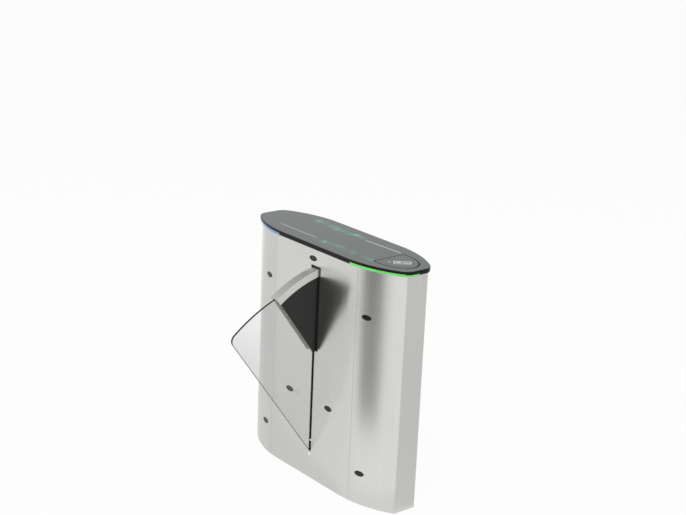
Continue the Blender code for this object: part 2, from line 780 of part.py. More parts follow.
def rim_end_angles():
    """Angles of the tip and of the back end, which folds to just short of the rear panel."""
    centre, tip = rim_centre()
    folded = turn([centre], SHROUD_TRAVEL)[0]
    back = SHROUD_BACK_CLEAR - DEPTH_BEHIND
    rise = math.sqrt(RIM_RADIUS**2 - (back - folded[0]) ** 2)
    end = turn([(back, folded[1] + rise)], -SHROUD_TRAVEL)[0]
    angles = [math.atan2(b - centre[1], a - centre[0]) for a, b in (tip, end)]
    return centre, angles


def make_rim(axis):
    """A channel bent to an arc, its web on top and its flanges outside both cheeks."""
    centre, (tip, back) = rim_end_angles()
    inner = RIM_RADIUS - RIM_SHEET
    foot = RIM_RADIUS - RIM_FLANGE_DEPTH
    half = [(RIM_RADIUS, RIM_OUTER), (foot, RIM_OUTER), (foot, RIM_INNER), (inner, RIM_INNER)]
    section = half + [(radius, -x) for radius, x in reversed(half)]
    rings = []
    for i in range(RIM_STEPS + 1):
        angle = tip + (back - tip) * i / RIM_STEPS
        ring = []
        for radius, x in section:
            a, b = polar(radius, angle)
            ring.append(from_side(centre[0] + a, centre[1] + b, WING_X + x))
        rings.append(ring)
    make("shroud_rim", loft(rings), RIM_ALUMINIUM, parent=axis)


def shroud_outline():
    """A fan that stands out of the slot, on an arm that stays inside."""
    centre, (_, back) = rim_end_angles()
    top = RIM_RADIUS - RIM_SHEET - FIT_GAP
    lead = -(LEAF_BACK - SHROUD_OVERLAP)
    folded = turn([centre], FLAP_TRAVEL)[0]
    high = (lead, folded[1] + math.sqrt(top**2 - (lead - folded[0]) ** 2))
    low = (lead, math.sqrt(SHROUD_TAIL_RADIUS**2 - lead**2))
    high, low = turn([high, low], -FLAP_TRAVEL)
    arm_a = PIVOT_INSET - SHEET - SHROUD_ARM_CLEAR
    arm_angle = math.acos(arm_a / SHROUD_TAIL_RADIUS)
    tip_angle = math.atan2(high[1] - centre[1], high[0] - centre[0])
    points = arc((0, 0), SHROUD_HUB_RADIUS, math.pi, math.tau, PIN_STEPS)
    points += arc((0, 0), SHROUD_TAIL_RADIUS, arm_angle, math.atan2(low[1], low[0]), OVAL_STEPS // 2)
    points += arc(centre, top, tip_angle, back, RIM_STEPS)
    return points


def make_shroud(axis):
    bore = [circle((0, 0), BORE_RADIUS)]
    for name, low in (
        ("shroud_near_cheek", WING_X + SHROUD_INNER),
        ("shroud_far_cheek", WING_X - SHROUD_OUTER),
    ):
        cheek = prism(from_side, low, low + SHROUD_SHEET, shroud_outline(), bore)
        make(name, cheek, BLACK_COAT, parent=axis)
    make_rim(axis)
    gear = make_gear("shroud_hub_gear", HUB_GEAR_TEETH, 0, SHROUD_ROW, BORE_RADIUS, axis)
    boss = (SHROUD_ROW - HUB_BOSS, SHROUD_ROW + GEAR_FACE / 2)
    combine(gear, tube(*boss, BORE_RADIUS, FAR_HUB_RADIUS), "UNION")
    hub = tube(FAR_HUB - FAR_HUB_LENGTH, FAR_HUB, BORE_RADIUS, FAR_HUB_RADIUS)
    make("shroud_far_hub", hub, ZINC_STEEL, parent=axis)


# Gears


def involute(angle):
    return math.tan(angle) - angle


def tooth_half_angle(radius, teeth):
    """Half the angle that a tooth fills at this radius."""
    pitch = GEAR_MODULE * teeth / 2
    base = pitch * math.cos(PRESSURE_ANGLE)
    lean = math.acos(min(1, base / radius))
    flank = involute(PRESSURE_ANGLE) - involute(lean)
    return math.pi / (2 * teeth) + flank - TOOTH_THINNING / pitch


def teeth_outline(teeth, first, count):
    """Teeth round a gear, each from root to pitch circle to tip and back."""
    pitch = GEAR_MODULE * teeth / 2
    radii = (pitch - DEDENDUM_SHARE * GEAR_MODULE, pitch, pitch + GEAR_MODULE)
    halves = [(radius, tooth_half_angle(radius, teeth)) for radius in radii]
    points = []
    for i in range(count):
        middle = first + math.tau * i / teeth
        points += [polar(radius, middle - half) for radius, half in halves]
        points += [polar(radius, middle + half) for radius, half in reversed(halves)]
    return points


def tube(low, high, bore, outer):
    return turned([(low, bore), (low, outer), (high, outer), (high, bore)], ring=True)


def make_gear(name, teeth, first, low, bore, axis):
    outline = teeth_outline(teeth, first, teeth)
    gear = prism(from_side, low, low + GEAR_FACE, outline, [circle((0, 0), bore, PIN_STEPS)])
    return make(name, gear, ZINC_STEEL, parent=axis)


def sector_edges():
    """Angles of the drive sector's two sides when the wing is out."""
    tooth = math.tau / SECTOR_TEETH
    above = SECTOR_TEETH_ABOVE
    return math.pi - (SECTOR_CUT_TEETH - above) * tooth, math.pi + above * tooth


def make_drive_sector(axis):
    low_edge, high_edge = sector_edges()
    tooth = math.tau / SECTOR_TEETH
    root = GEAR_MODULE * (SECTOR_TEETH / 2 - DEDENDUM_SHARE)
    points = [polar(root, low_edge)]
    points += teeth_outline(SECTOR_TEETH, low_edge + tooth / 2, SECTOR_CUT_TEETH)
    points.append(polar(root, high_edge))
    points += arc((0, 0), SECTOR_HUB_RADIUS, high_edge, low_edge + math.tau, PIN_STEPS)
    sector = prism(
        from_side, SECTOR_X, SECTOR_X + SECTOR_FACE, points, [circle((0, 0), BORE_RADIUS)]
    )
    make("drive_sector", sector, ZINC_STEEL, parent=axis)


def make_flap_shaft(axis):
    past = PLATE_SHEET + BEARING_FLANGE + BEARING_NOSE + SHAFT_END
    low, high = FAR_PLATE + PLATE_SHEET - past, NEAR_PLATE + past
    edge = SHAFT_RADIUS - SHAFT_CHAMFER
    profile = [
        (low, edge),
        (low + SHAFT_CHAMFER, SHAFT_RADIUS),
        (high - SHAFT_CHAMFER, SHAFT_RADIUS),
        (high, edge),
    ]
    make("flap_shaft", turned(profile), BRIGHT_STEEL, parent=axis)
    make_gear("shaft_gear", SHAFT_GEAR_TEETH, 0, SHAFT_ROW, BORE_RADIUS, axis)


def make_layshaft(axis):
    """Two gears on one sleeve. A tooth gap of each faces the flap shaft."""
    bore = STUB_RADIUS + FIT_GAP
    outer = bore + SLEEVE_SHEET
    sleeve = tube(SHROUD_ROW, NEAR_PLATE - FIT_GAP, bore, outer)
    make("layshaft_sleeve", sleeve, BRIGHT_STEEL, parent=axis)
    for name, teeth, low in (
        ("layshaft_small_gear", LAY_SMALL_TEETH, SHROUD_ROW),
        ("layshaft_large_gear", LAY_LARGE_TEETH, SHAFT_ROW),
    ):
        make_gear(name, teeth, math.pi / teeth, low, outer + FIT_GAP, axis)


def make_stub_axle(location):
    end = SHROUD_ROW - FIT_GAP - COLLAR_LENGTH
    head = NEAR_PLATE + PLATE_SHEET + FIT_GAP
    profile = [
        (end, STUB_RADIUS),
        (head, STUB_RADIUS),
        (head, STUB_HEAD_RADIUS),
        (head + STUB_HEAD, STUB_HEAD_RADIUS),
    ]
    make("stub_axle", turned(profile), BRIGHT_STEEL, location)
    collar = tube(end, end + COLLAR_LENGTH, STUB_RADIUS + FIT_GAP, COLLAR_RADIUS)
    make("stub_collar", collar, ZINC_STEEL, location)


def make_motor_pinion(axis):
    outline = teeth_outline(PINION_TEETH, math.pi / PINION_TEETH, PINION_TEETH)
    gear = prism(from_side, SECTOR_X, SECTOR_X + SECTOR_FACE, outline)
    pinion = make("motor_pinion", gear, BRIGHT_STEEL, parent=axis)
    end = FAR_PLATE + PLATE_SHEET - PINION_SHAFT_LENGTH + FIT_GAP
    rod = [(end, PINION_SHAFT_RADIUS), (SECTOR_X + SECTOR_FACE / 2, PINION_SHAFT_RADIUS)]
    combine(pinion, turned(rod, PIN_STEPS), "UNION")


def make_gearmotor(location):
    """Seen from its bore: pilot in the plate, flange, gearbox, motor and end cap."""
    pilot = FAR_PLATE + PLATE_SHEET
    flange = FAR_PLATE - FIT_GAP
    bore = PINION_SHAFT_RADIUS + FIT_GAP
    profile = [(pilot - PINION_SHAFT_LENGTH, bore), (pilot, bore)]
    profile += [(pilot, MOTOR_PILOT_RADIUS), (flange, MOTOR_PILOT_RADIUS)]
    x = flange
    for length, radius in (
        (MOTOR_FLANGE, MOTOR_FLANGE_RADIUS),
        (GEARBOX_LENGTH, GEARBOX_RADIUS),
        (MOTOR_LENGTH, MOTOR_RADIUS),
        (MOTOR_CAP, MOTOR_CAP_RADIUS),
    ):
        profile += [(x, radius), (x - length, radius)]
        x -= length
    make("gearmotor", turned(profile), MOTOR_GREY, location)


# Bearing plates, bearings, stops and slot guide


def make_bearing_plate(name, low, outward, second_hole):
    """An upright plate with a foot turned away from the wing."""
    front = PIVOT_INSET - SHEET - PLATE_FRONT_CLEAR
    bottom = BASE_TOP - PIVOT_HEIGHT
    outline = [
        (front, bottom),
        (front, PLATE_RISE - PLATE_CORNER),
        (front - PLATE_CORNER, PLATE_RISE),
        (PLATE_CORNER - PLATE_BACK, PLATE_RISE),
        (-PLATE_BACK, PLATE_RISE - PLATE_CORNER),
        (-PLATE_BACK, bottom),
    ]
    holes = [circle((0, 0), BEARING_PILOT_RADIUS + FIT_GAP), second_hole]
    place = (0, PIVOT_Y, PIVOT_HEIGHT)
    plate = prism(from_side, low, low + PLATE_SHEET, outline, holes)
    obj = make(name, plate, ZINC_STEEL, place)
    middle = low + PLATE_SHEET / 2
    ends = sorted((middle, middle + outward * PLATE_FOOT_LENGTH))
    foot = [
        (front, bottom),
        (front, bottom + PLATE_SHEET),
        (-PLATE_BACK, bottom + PLATE_SHEET),
        (-PLATE_BACK, bottom),
    ]
    combine(obj, prism(from_side, *ends, foot), "UNION", place)


def make_flange_bearing(name, inner, outward):
    steps = (
        (0, BORE_RADIUS),
        (0, BEARING_PILOT_RADIUS),
        (PLATE_SHEET + FIT_GAP, BEARING_PILOT_RADIUS),
        (PLATE_SHEET + FIT_GAP, BEARING_FLANGE_RADIUS),
        (PLATE_SHEET + BEARING_FLANGE, BEARING_FLANGE_RADIUS),
        (PLATE_SHEET + BEARING_FLANGE, BEARING_NOSE_RADIUS),
        (PLATE_SHEET + BEARING_FLANGE + BEARING_NOSE, BEARING_NOSE_RADIUS),
        (PLATE_SHEET + BEARING_FLANGE + BEARING_NOSE, BORE_RADIUS),
    )
    profile = [(inner + outward * x, radius) for x, radius in steps]
    make(name, turned(profile, ring=True), BRONZE, (0, PIVOT_Y, PIVOT_HEIGHT))


def make_frame_mechanism():
    stub_hole = circle((-LAY_DISTANCE, 0), STUB_RADIUS + FIT_GAP, PIN_STEPS)
    motor_hole = circle((-PINION_DISTANCE, 0), MOTOR_PILOT_RADIUS + FIT_GAP)
    make_bearing_plate("near_bearing_plate", NEAR_PLATE, 1, stub_hole)
    make_bearing_plate("far_bearing_plate", FAR_PLATE, -1, motor_hole)
    make_flange_bearing("near_bearing", NEAR_PLATE, 1)
    make_flange_bearing("far_bearing", FAR_PLATE + PLATE_SHEET, -1)
    make_stub_axle((0, PIVOT_Y + LAY_DISTANCE, PIVOT_HEIGHT))
    make_gearmotor((0, PIVOT_Y + PINION_DISTANCE, PIVOT_HEIGHT))


def make_stops():
    """Rubber posts on the far plate that the drive sector's sides meet."""
    spread = math.asin((STOP_RADIUS + FIT_GAP) / STOP_REACH)
    low_edge, high_edge = sector_edges()
    x = FAR_PLATE + PLATE_SHEET + FIT_GAP
    post = [(x, STOP_RADIUS), (SECTOR_X + SECTOR_FACE, STOP_RADIUS)]
    for name, angle in (
        ("stop_wing_out", low_edge - spread),
        ("stop_wing_in", high_edge + FLAP_TRAVEL + spread),
    ):
        a, b = polar(STOP_REACH, angle)
        place = (0, PIVOT_Y - a, PIVOT_HEIGHT + b)
        make(name, turned(post, PIN_STEPS), STOP_RUBBER, place)


def fork(half, bottom, top, gap, floor):
    """A U in the front view, round the wing's plane. The bottom is a list of points."""
    right = [(half, top), (gap, top), (gap, floor)]
    left = [(-x, z) for x, z in reversed(right)]
    return [(WING_X + x, z) for x, z in [*bottom, *right, *left]]


def make_slot_guide():
    """Rails behind the panel, and prongs and pads that fill the slot's foot beside the leaf."""
    face = BODY_WIDTH / 2
    behind = face - SHEET - FIT_GAP
    heel = math.hypot(LEAF_FRONT, LEAF_HEEL)
    depth = PIVOT_INSET - SHEET - FIT_GAP - GUIDE_SHEET
    floor = PIVOT_HEIGHT - math.sqrt(heel**2 - depth**2) - GUIDE_FLOOR_CLEAR
    half, low = GUIDE_WIDTH / 2, PIVOT_HEIGHT - SLOT_FOOT
    top = PIVOT_HEIGHT + GUIDE_TOP
    base = [(-half, low - GUIDE_FOOT), (half, low - GUIDE_FOOT)]
    rails = fork(half, base, top, LEAF_THICKNESS / 2 + GUIDE_RAIL_CLEAR, floor)
    guide = make("slot_guide", prism(from_front, behind - GUIDE_SHEET, behind, rails), WHITE_NYLON)
    outer, inner = NARROW_HALF - FIT_GAP, LEAF_THICKNESS / 2 + GUIDE_RUN_CLEAR
    foot = arc((0, low + NARROW_HALF), outer, math.pi, math.tau, OVAL_STEPS)
    prongs = fork(outer, foot, PIVOT_HEIGHT - GUIDE_PRONG_BELOW, inner, floor)
    root = behind - GUIDE_SHEET / 2
    combine(guide, prism(from_front, root, face, prongs), "UNION")
    pad_low = PIVOT_HEIGHT + GUIDE_PAD_LOW
    pad_high = pad_low + GUIDE_PAD_HEIGHT
    for side in (-1, 1):
        ends = [(side * inner, pad_low), (side * outer, pad_low)]
        ends += [(side * outer, pad_high), (side * inner, pad_high)]
        pad = [(WING_X + x, z) for x, z in ends]
        combine(guide, prism(from_front, root, face, pad), "UNION")


# Lid and boxes


def make_lid(axis):
    """Tray, glass and what hangs under them. They turn on the hinge axis at the rear."""
    shift = (0, -HINGE_AXIS_Y, -HINGE_AXIS_Z)
    wall = TRAY_EDGE - TRAY_SHEET
    tray = [(wall, TRAY_CEILING), (wall, TRAY_BOTTOM), (TRAY_EDGE, TRAY_BOTTOM), (TRAY_EDGE, TRAY_TOP)]
    make("lid_tray", stacked(tray), BLACK_PLASTIC, shift, axis)
    glass = [
        (LID_OVERHANG, GLASS_BOTTOM),
        (LID_OVERHANG, OVERALL_HEIGHT - GLASS_CHAMFER),
        (LID_OVERHANG - GLASS_CHAMFER, OVERALL_HEIGHT),
    ]
    make("top_glass", stacked(glass), DARK_GLASS, shift, axis)
    under = TRAY_CEILING - FIT_GAP
    reader = ((BODY_LENGTH / 2 - READER_FROM_END, 0), READER_LENGTH, READER_WIDTH)
    board = ((BOARD_X, 0), BOARD_LENGTH, BOARD_WIDTH)
    for name, box, depth, finish in (
        ("card_reader", reader, READER_DEPTH, BLACK_PLASTIC),
        ("display_board", board, BOARD_THICKNESS, BOARD_GREEN),
    ):
        outline = rounded_box(*box, BOX_CHAMFER, 1)
        make(name, prism(from_above, under - depth, under, outline), finish, shift, axis)


def frame_leaf_outline():
    """A leaf on the rear panel with an arm out to the knuckle, drawn from the hinge axis."""
    wall = HINGE_AXIS_Y - BODY_WIDTH / 2 - FIT_GAP
    arm = FRAME_TOP - TRIM_HEIGHT - HINGE_AXIS_Z - HINGE_ARM_DROP
    points = [
        (wall, arm),
        (wall, arm - HINGE_LEAF_HEIGHT),
        (wall - HINGE_SHEET, arm - HINGE_LEAF_HEIGHT),
        (wall - HINGE_SHEET, arm - HINGE_SHEET),
        (-KNUCKLE_RADIUS, arm - HINGE_SHEET),
    ]
    knuckle = arc((0, 0), KNUCKLE_RADIUS, math.pi, 0, OVAL_STEPS)
    return points + knuckle + [(KNUCKLE_RADIUS, arm)]


def lid_leaf_outline():
    """A knuckle with a low upright that lies against the tray's side."""
    outer = KNUCKLE_RADIUS + LID_LEAF_SHEET
    top = TRAY_TOP - HINGE_AXIS_Z - FIT_GAP
    knuckle = arc((0, 0), KNUCKLE_RADIUS, math.pi / 2, math.tau, OVAL_STEPS)
    upright = [(outer, 0), (outer, top), (KNUCKLE_RADIUS, top), (KNUCKLE_RADIUS, KNUCKLE_RADIUS)]
    return knuckle + upright


def make_lid_hinges(lid_axis):
    half = HINGE_LENGTH / 2
    middle = half * KNUCKLE_SHARE
    reach = KNUCKLE_RADIUS + OVERRUN
    low = -KNUCKLE_RADIUS - KNUCKLE_CLEAR
    notch = [(-reach, low), (reach, low), (reach, reach), (-reach, reach)]
    bore = [circle((0, 0), HINGE_PIN_RADIUS + FIT_GAP, PIN_STEPS)]
    head = half + FIT_GAP
    pin = [
        (-half, HINGE_PIN_RADIUS),
        (head, HINGE_PIN_RADIUS),
        (head, HINGE_PIN_HEAD_RADIUS),
        (head + HINGE_PIN_HEAD, HINGE_PIN_HEAD_RADIUS),
    ]
    for end, side in (("near", 1), ("far", -1)):
        place = (side * HINGE_X, HINGE_AXIS_Y, HINGE_AXIS_Z)
        leaf = prism(from_side, -half, half, frame_leaf_outline(), bore)
        obj = make(f"lid_hinge_{end}_frame_leaf", leaf, ZINC_STEEL, place)
        cutter = prism(from_side, -middle - FIT_GAP, middle + FIT_GAP, notch)
        combine(obj, cutter, "DIFFERENCE", place)
        leaf = prism(from_side, -middle, middle, lid_leaf_outline(), bore)
        on_lid = (side * HINGE_X, 0, 0)
        make(f"lid_hinge_{end}_lid_leaf", leaf, ZINC_STEEL, on_lid, lid_axis)
        make(f"lid_hinge_{end}_pin", turned(pin, PIN_STEPS), BRIGHT_STEEL, place)


def make_boxes():
    control_x = CONTROL_FROM_END - BODY_LENGTH / 2
    supply_x = BODY_LENGTH / 2 - SUPPLY_FROM_END
    for name, x, length, width, height, finish in (
        ("control_box", control_x, CONTROL_LENGTH, CONTROL_WIDTH, CONTROL_HEIGHT, BLACK_PLASTIC),
        ("power_supply", supply_x, SUPPLY_LENGTH, SUPPLY_WIDTH, SUPPLY_HEIGHT, ZINC_STEEL),
    ):
        outline = rounded_box((x, 0), length, width, BOX_CHAMFER, 1)
        make(name, prism(from_above, BASE_TOP, BASE_TOP + height, outline), finish)


def main():
    clear_scene()
    make_base_plate()
    make_posts()
    make_side_panels()
    make_end_shells()
    make_sensor_windows()
    make_top_frame()
    make_edge_strips()
    make_frame_mechanism()
    make_stops()
    make_slot_guide()
    make_boxes()
    pivot = (0, PIVOT_Y, PIVOT_HEIGHT)
    flap_axis = make_axis("flap_axis", pivot)
    make_leaf(flap_axis)
    make_leaf_bolts(flap_axis)
    make_flap_shaft(flap_axis)
    make_drive_sector(flap_axis)
    make_shroud(make_axis("shroud_axis", pivot))
    make_layshaft(make_axis("layshaft_axis", (0, PIVOT_Y + LAY_DISTANCE, PIVOT_HEIGHT)))
    make_motor_pinion(make_axis("pinion_axis", (0, PIVOT_Y + PINION_DISTANCE, PIVOT_HEIGHT)))
    lid_axis = make_axis("lid_axis", (0, HINGE_AXIS_Y, HINGE_AXIS_Z))
    make_lid(lid_axis)
    make_lid_hinges(lid_axis)


main()
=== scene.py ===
import json
import math

import bmesh
import bpy
from mathutils import Matrix, Vector


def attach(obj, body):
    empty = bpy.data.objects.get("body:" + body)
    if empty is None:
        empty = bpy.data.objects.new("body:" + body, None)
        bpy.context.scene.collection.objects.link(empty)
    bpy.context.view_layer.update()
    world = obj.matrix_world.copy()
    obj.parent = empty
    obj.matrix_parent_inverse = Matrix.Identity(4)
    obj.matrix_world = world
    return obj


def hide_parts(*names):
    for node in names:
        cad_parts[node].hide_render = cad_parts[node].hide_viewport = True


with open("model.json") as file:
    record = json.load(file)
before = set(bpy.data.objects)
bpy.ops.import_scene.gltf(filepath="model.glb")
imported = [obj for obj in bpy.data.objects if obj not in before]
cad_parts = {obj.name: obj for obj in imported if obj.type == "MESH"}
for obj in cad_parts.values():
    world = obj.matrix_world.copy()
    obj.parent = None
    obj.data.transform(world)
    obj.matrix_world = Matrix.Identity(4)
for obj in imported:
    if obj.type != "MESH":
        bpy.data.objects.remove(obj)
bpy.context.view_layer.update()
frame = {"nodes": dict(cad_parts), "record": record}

nodes = frame["nodes"]
tiny = 0.00002  # how far a vertex may lie from where it is looked for
mergeWithin = 0.00001
sliverWidth = 0.000005
flatWithin = math.radians(0.5)
smoothBelow = math.radians(32)
cutBeyond = 0.01  # how far a cutter reaches past what it cuts
squarely = 0.9  # the share of a face's normal along the way that it faces,
roughly = 0.5  # and the share that tells one side of a piece from the next
sharpCorner = 50  # in degrees: curves made of flat steps turn less than this from face to face
lying = (math.pi / 2, 0, 0)  # turns an upright primitive to lie along Y


# small tools for modelling

def startFresh():
    if bpy.context.object and bpy.context.object.mode != "OBJECT":
        bpy.ops.object.mode_set(mode="OBJECT")
    bpy.ops.object.select_all(action="DESELECT")


def activate(obj):
    startFresh()
    obj.select_set(True)
    bpy.context.view_layer.objects.active = obj


def startEdit(obj):
    activate(obj)
    bpy.ops.object.mode_set(mode="EDIT")
    bpy.ops.mesh.select_all(action="SELECT")


def endEdit():
    bpy.ops.object.mode_set(mode="OBJECT")


def settle(obj):  # its place, turn and scale go into its mesh
    activate(obj)
    bpy.ops.object.transform_apply(location=True, rotation=True, scale=True)
    return obj


def nameNew(name):  # the primitive that was just added
    obj = bpy.context.object
    obj.name = name
    return settle(obj)


def addObject(name, data):
    obj = bpy.data.objects.new(name, data)
    bpy.context.scene.collection.objects.link(obj)
    return obj


def pickAll(obj, kind, test):
    bpy.ops.mesh.select_mode(type=kind)
    bpy.ops.mesh.select_all(action="DESELECT")
    mesh = bmesh.from_edit_mesh(obj.data)
    for item in mesh.faces if kind == "FACE" else mesh.edges:
        item.select_set(test(item))
    bmesh.update_edit_mesh(obj.data)


def pickEdges(obj, test):  # edges whose two ends both pass
    pickAll(obj, "EDGE", lambda edge: all(test(vert.co) for vert in edge.verts))


def pickFaces(obj, test):  # faces whose middle and normal pass
    pickAll(obj, "FACE", lambda face: test(face.calc_center_median(), face.normal))


def facesOut(obj):
    startEdit(obj)
    bpy.ops.mesh.remove_doubles(threshold=mergeWithin)
    bpy.ops.mesh.normals_make_consistent(inside=False)
    endEdit()


def modify(obj, kind, **settings):  # adds a modifier and applies it
    activate(obj)
    modifier = obj.modifiers.new(kind.lower(), kind)
    for key, value in settings.items():
        setattr(modifier, key, value)
    bpy.ops.object.modifier_apply(modifier=modifier.name)


def roundEdges(obj, width, segments=2, angle=35):
    modify(obj, "BEVEL", width=width, segments=segments, limit_method="ANGLE",
           angle_limit=math.radians(angle), harden_normals=False)


def dropSlivers(obj):  # what rounding leaves where edges almost meet
    startEdit(obj)
    bpy.ops.mesh.dissolve_degenerate(threshold=sliverWidth)
    endEdit()


def cutAway(obj, cutter, keepCutter=False):
    modify(obj, "BOOLEAN", operation="DIFFERENCE", solver="EXACT", object=cutter)
    if not keepCutter:
        bpy.data.objects.remove(cutter)


def duplicateOf(obj, name):
    activate(obj)
    bpy.ops.object.duplicate()
    copy = bpy.context.object
    copy.name = name
    return copy


def joinAll(parts, name):
    startFresh()
    for part in parts:
        part.select_set(True)
    bpy.context.view_layer.objects.active = parts[0]
    bpy.ops.object.join()
    parts[0].name = name
    return parts[0]


oddSlots = {"dark_glass": "lidGlass", "sensor_smoke": "sensorBezel"}


def materialOf(slotName):  # the finish that has the slot's name, or an odd slot's own
    first, *others = slotName.split("_")
    return finish[oddSlots.get(slotName, first + "".join(word.title() for word in others))]


def finishPiece(obj, body, slotName, replaced=()):
    settle(obj)
    bpy.ops.object.shade_smooth_by_angle(angle=smoothBelow)
    modify(obj, "WEIGHTED_NORMAL", keep_sharp=True)  # flat faces stay flat
    if not any(obj.data.materials):  # a piece of one finish takes its slot's
        obj.data.materials.clear()
        obj.data.materials.append(materialOf(slotName))
    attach(obj, body)
    if replaced:
        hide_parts(*replaced)


def addRound(name, radius, depth, place, turn=(0, 0, 0), steps=48, stretch=1.0):
    startFresh()
    bpy.ops.mesh.primitive_cylinder_add(vertices=steps, radius=radius, depth=depth,
                                        location=place, rotation=turn)
    bpy.context.object.scale = (stretch, 1, 1)
    return nameNew(name)


def addBlock(name, low, high, corner=0.0):
    startFresh()
    middle = [(start + end) / 2 for start, end in zip(low, high)]
    bpy.ops.mesh.primitive_cube_add(size=1, location=middle)
    bpy.context.object.scale = [end - start for start, end in zip(low, high)]
    obj = nameNew(name)
    if corner:
        roundEdges(obj, corner, 3)
    return obj


def moveTo(obj, place, lean=0.0):  # from the origin
    obj.location = place
    obj.rotation_euler = (0, 0, lean)
    return settle(obj)


def unite(obj, other):
    modify(obj, "BOOLEAN", operation="UNION", solver="EXACT", object=other)
    bpy.data.objects.remove(other)


def sortFaces(obj, names, pick):  # pick gives each face the number of its finish
    obj.data.materials.clear()
    for name in names:
        obj.data.materials.append(finish[name])
    for face in obj.data.polygons:
        face.material_index = pick(face.center, face.normal)


def recess(obj, wall, depth):  # sinks the face that looks down
    startEdit(obj)
    pickFaces(obj, lambda centre, normal: normal.z < -squarely)
    bpy.ops.mesh.inset(thickness=wall)
    bpy.ops.mesh.extrude_region_move(TRANSFORM_OT_translate={"value": (0, 0, depth)})
    endEdit()
    facesOut(obj)


def splitAt(obj, place, direction):  # a new loop of edges where a plane crosses
    startEdit(obj)
    bpy.ops.mesh.bisect(plane_co=place, plane_no=direction)
    endEdit()


def copyOfNode(node, name):  # a merged copy of a CAD node with whole flat faces
    obj = addObject(name, nodes[node].data.copy())
    obj.data.materials.clear()
    startEdit(obj)
    bpy.ops.mesh.customdata_custom_splitnormals_clear()
    bpy.ops.mesh.remove_doubles(threshold=mergeWithin)
    bpy.ops.mesh.dissolve_limited(angle_limit=flatWithin)
    endEdit()
    return obj


# camera, at the photograph's place

cameraSettings = {
    "place": (4.26541, -3.51494, 2.64597),
    "heading": math.radians(50.408),  # turned left from looking along +Y
    "down": math.radians(17.313),
    "roll": math.radians(2.444),
    "lens": 76.146,
    "sensorWidth": 36,
    "clip": (0.1, 60),
}


def addCamera(settings):
    data = bpy.data.cameras.new("camera")
    data.lens = settings["lens"]
    data.sensor_width = settings["sensorWidth"]
    data.sensor_fit = "HORIZONTAL"
    data.clip_start, data.clip_end = settings["clip"]
    camera = addObject("camera", data)
    heading = Matrix.Rotation(settings["heading"], 4, "Z")
    tilt = Matrix.Rotation(math.pi / 2 - settings["down"], 4, "X")
    roll = Matrix.Rotation(settings["roll"], 4, "Z")
    camera.matrix_world = Matrix.Translation(settings["place"]) @ heading @ tilt @ roll
    bpy.context.scene.camera = camera


addCamera(cameraSettings)
bpy.context.scene.view_settings.view_transform = "Standard"
print("camera set")


# shader tools

def feed(tree, node, values):  # an output is linked to its input, anything else is set there
    for key, value in values.items():
        if isinstance(value, bpy.types.NodeSocket):
            tree.links.new(value, node.inputs[key])
        else:
            node.inputs[key].default_value = value


def addNode(tree, kind, values=None, **settings):
    node = tree.nodes.new("ShaderNode" + kind)
    for key, value in settings.items():
        setattr(node, key, value)
    feed(tree, node, values or {})
    return node


def calc(tree, operation, *values):
    return addNode(tree, "Math", dict(enumerate(values)), operation=operation).outputs[0]


def between(tree, value, start, end, low=0.0, high=1.0):  # smooth rise from start to end
    node = addNode(tree, "MapRange", {"Value": value, "From Min": start, "From Max": end,
                                      "To Min": low, "To Max": high}, interpolation_type="SMOOTHSTEP")
    return node.outputs["Result"]


def mixColour(tree, share, first, second):
    return addNode(tree, "Mix", {0: share, 6: first, 7: second}, data_type="RGBA").outputs[2]


def blend(tree, share, first, second):
    return addNode(tree, "Mix", {0: share, 2: first, 3: second}).outputs[0]


def shade(colour, share=1.0):  # a colour's share, as a socket takes it
    return [part * share for part in colour] + [1]


def newGroup(name, inputs, outputs):
    group = bpy.data.node_groups.new(name, "ShaderNodeTree")
    for key, value in inputs.items():
        socket = group.interface.new_socket(key, in_out="INPUT", socket_type="NodeSocketFloat")
        socket.default_value = value
    for key in outputs:
        group.interface.new_socket(key, in_out="OUTPUT", socket_type="NodeSocketFloat")
    return group, group.nodes.new("NodeGroupInput").outputs, group.nodes.new("NodeGroupOutput").inputs


def placeGroup(tree, group, values):
    return addNode(tree, "Group", values, node_tree=group).outputs


grainLook = {
    "detail": (3.0, 2.0, 2.0),  # of the fine noise, the broad noise and the patches
    "fineRough": 0.6,
    "broadScale": 0.13,  # against the fine noise
    "broadShare": 0.35,
    "toneRange": (0.32, 0.68),
    "patchRange": (0.35, 0.65),
}


def buildGrainGroup(look):  # lines or specks of any length, with broad uneven patches
    group, given, out = newGroup(
        "surfaceGrain", {"Along X": 600.0, "Along Y": 600.0, "Along Z": 600.0, "Patches": 6.0},
        ("Tone", "Height", "Patch"))
    place = addNode(group, "TexCoord").outputs["Object"]
    scale = addNode(group, "CombineXYZ", {axis: given["Along " + axis] for axis in "XYZ"})
    stretched = addNode(group, "VectorMath", {0: place, 1: scale.outputs[0]}, operation="MULTIPLY")
    wide = addNode(group, "VectorMath", {0: stretched.outputs[0], "Scale": look["broadScale"]},
                   operation="SCALE")
    fineDetail, broadDetail, patchDetail = look["detail"]
    fine = addNode(group, "TexNoise", {"Vector": stretched.outputs[0], "Scale": 1.0,
                                       "Detail": fineDetail, "Roughness": look["fineRough"]})
    broad = addNode(group, "TexNoise", {"Vector": wide.outputs[0], "Scale": 1.0, "Detail": broadDetail})
    patch = addNode(group, "TexNoise", {"Vector": place, "Scale": given["Patches"], "Detail": patchDetail})
    tone = blend(group, look["broadShare"], fine.outputs[0], broad.outputs[0])
    group.links.new(between(group, tone, *look["toneRange"]), out["Tone"])
    group.links.new(fine.outputs[0], out["Height"])
    group.links.new(between(group, patch.outputs[0], *look["patchRange"]), out["Patch"])
    return group


grainGroup = buildGrainGroup(grainLook)


def placeGrain(tree, along, patches):  # along is one number, or one for each axis
    x, y, z = along if isinstance(along, tuple) else (along, along, along)
    return placeGroup(tree, grainGroup, {"Along X": x, "Along Y": y, "Along Z": z, "Patches": patches})


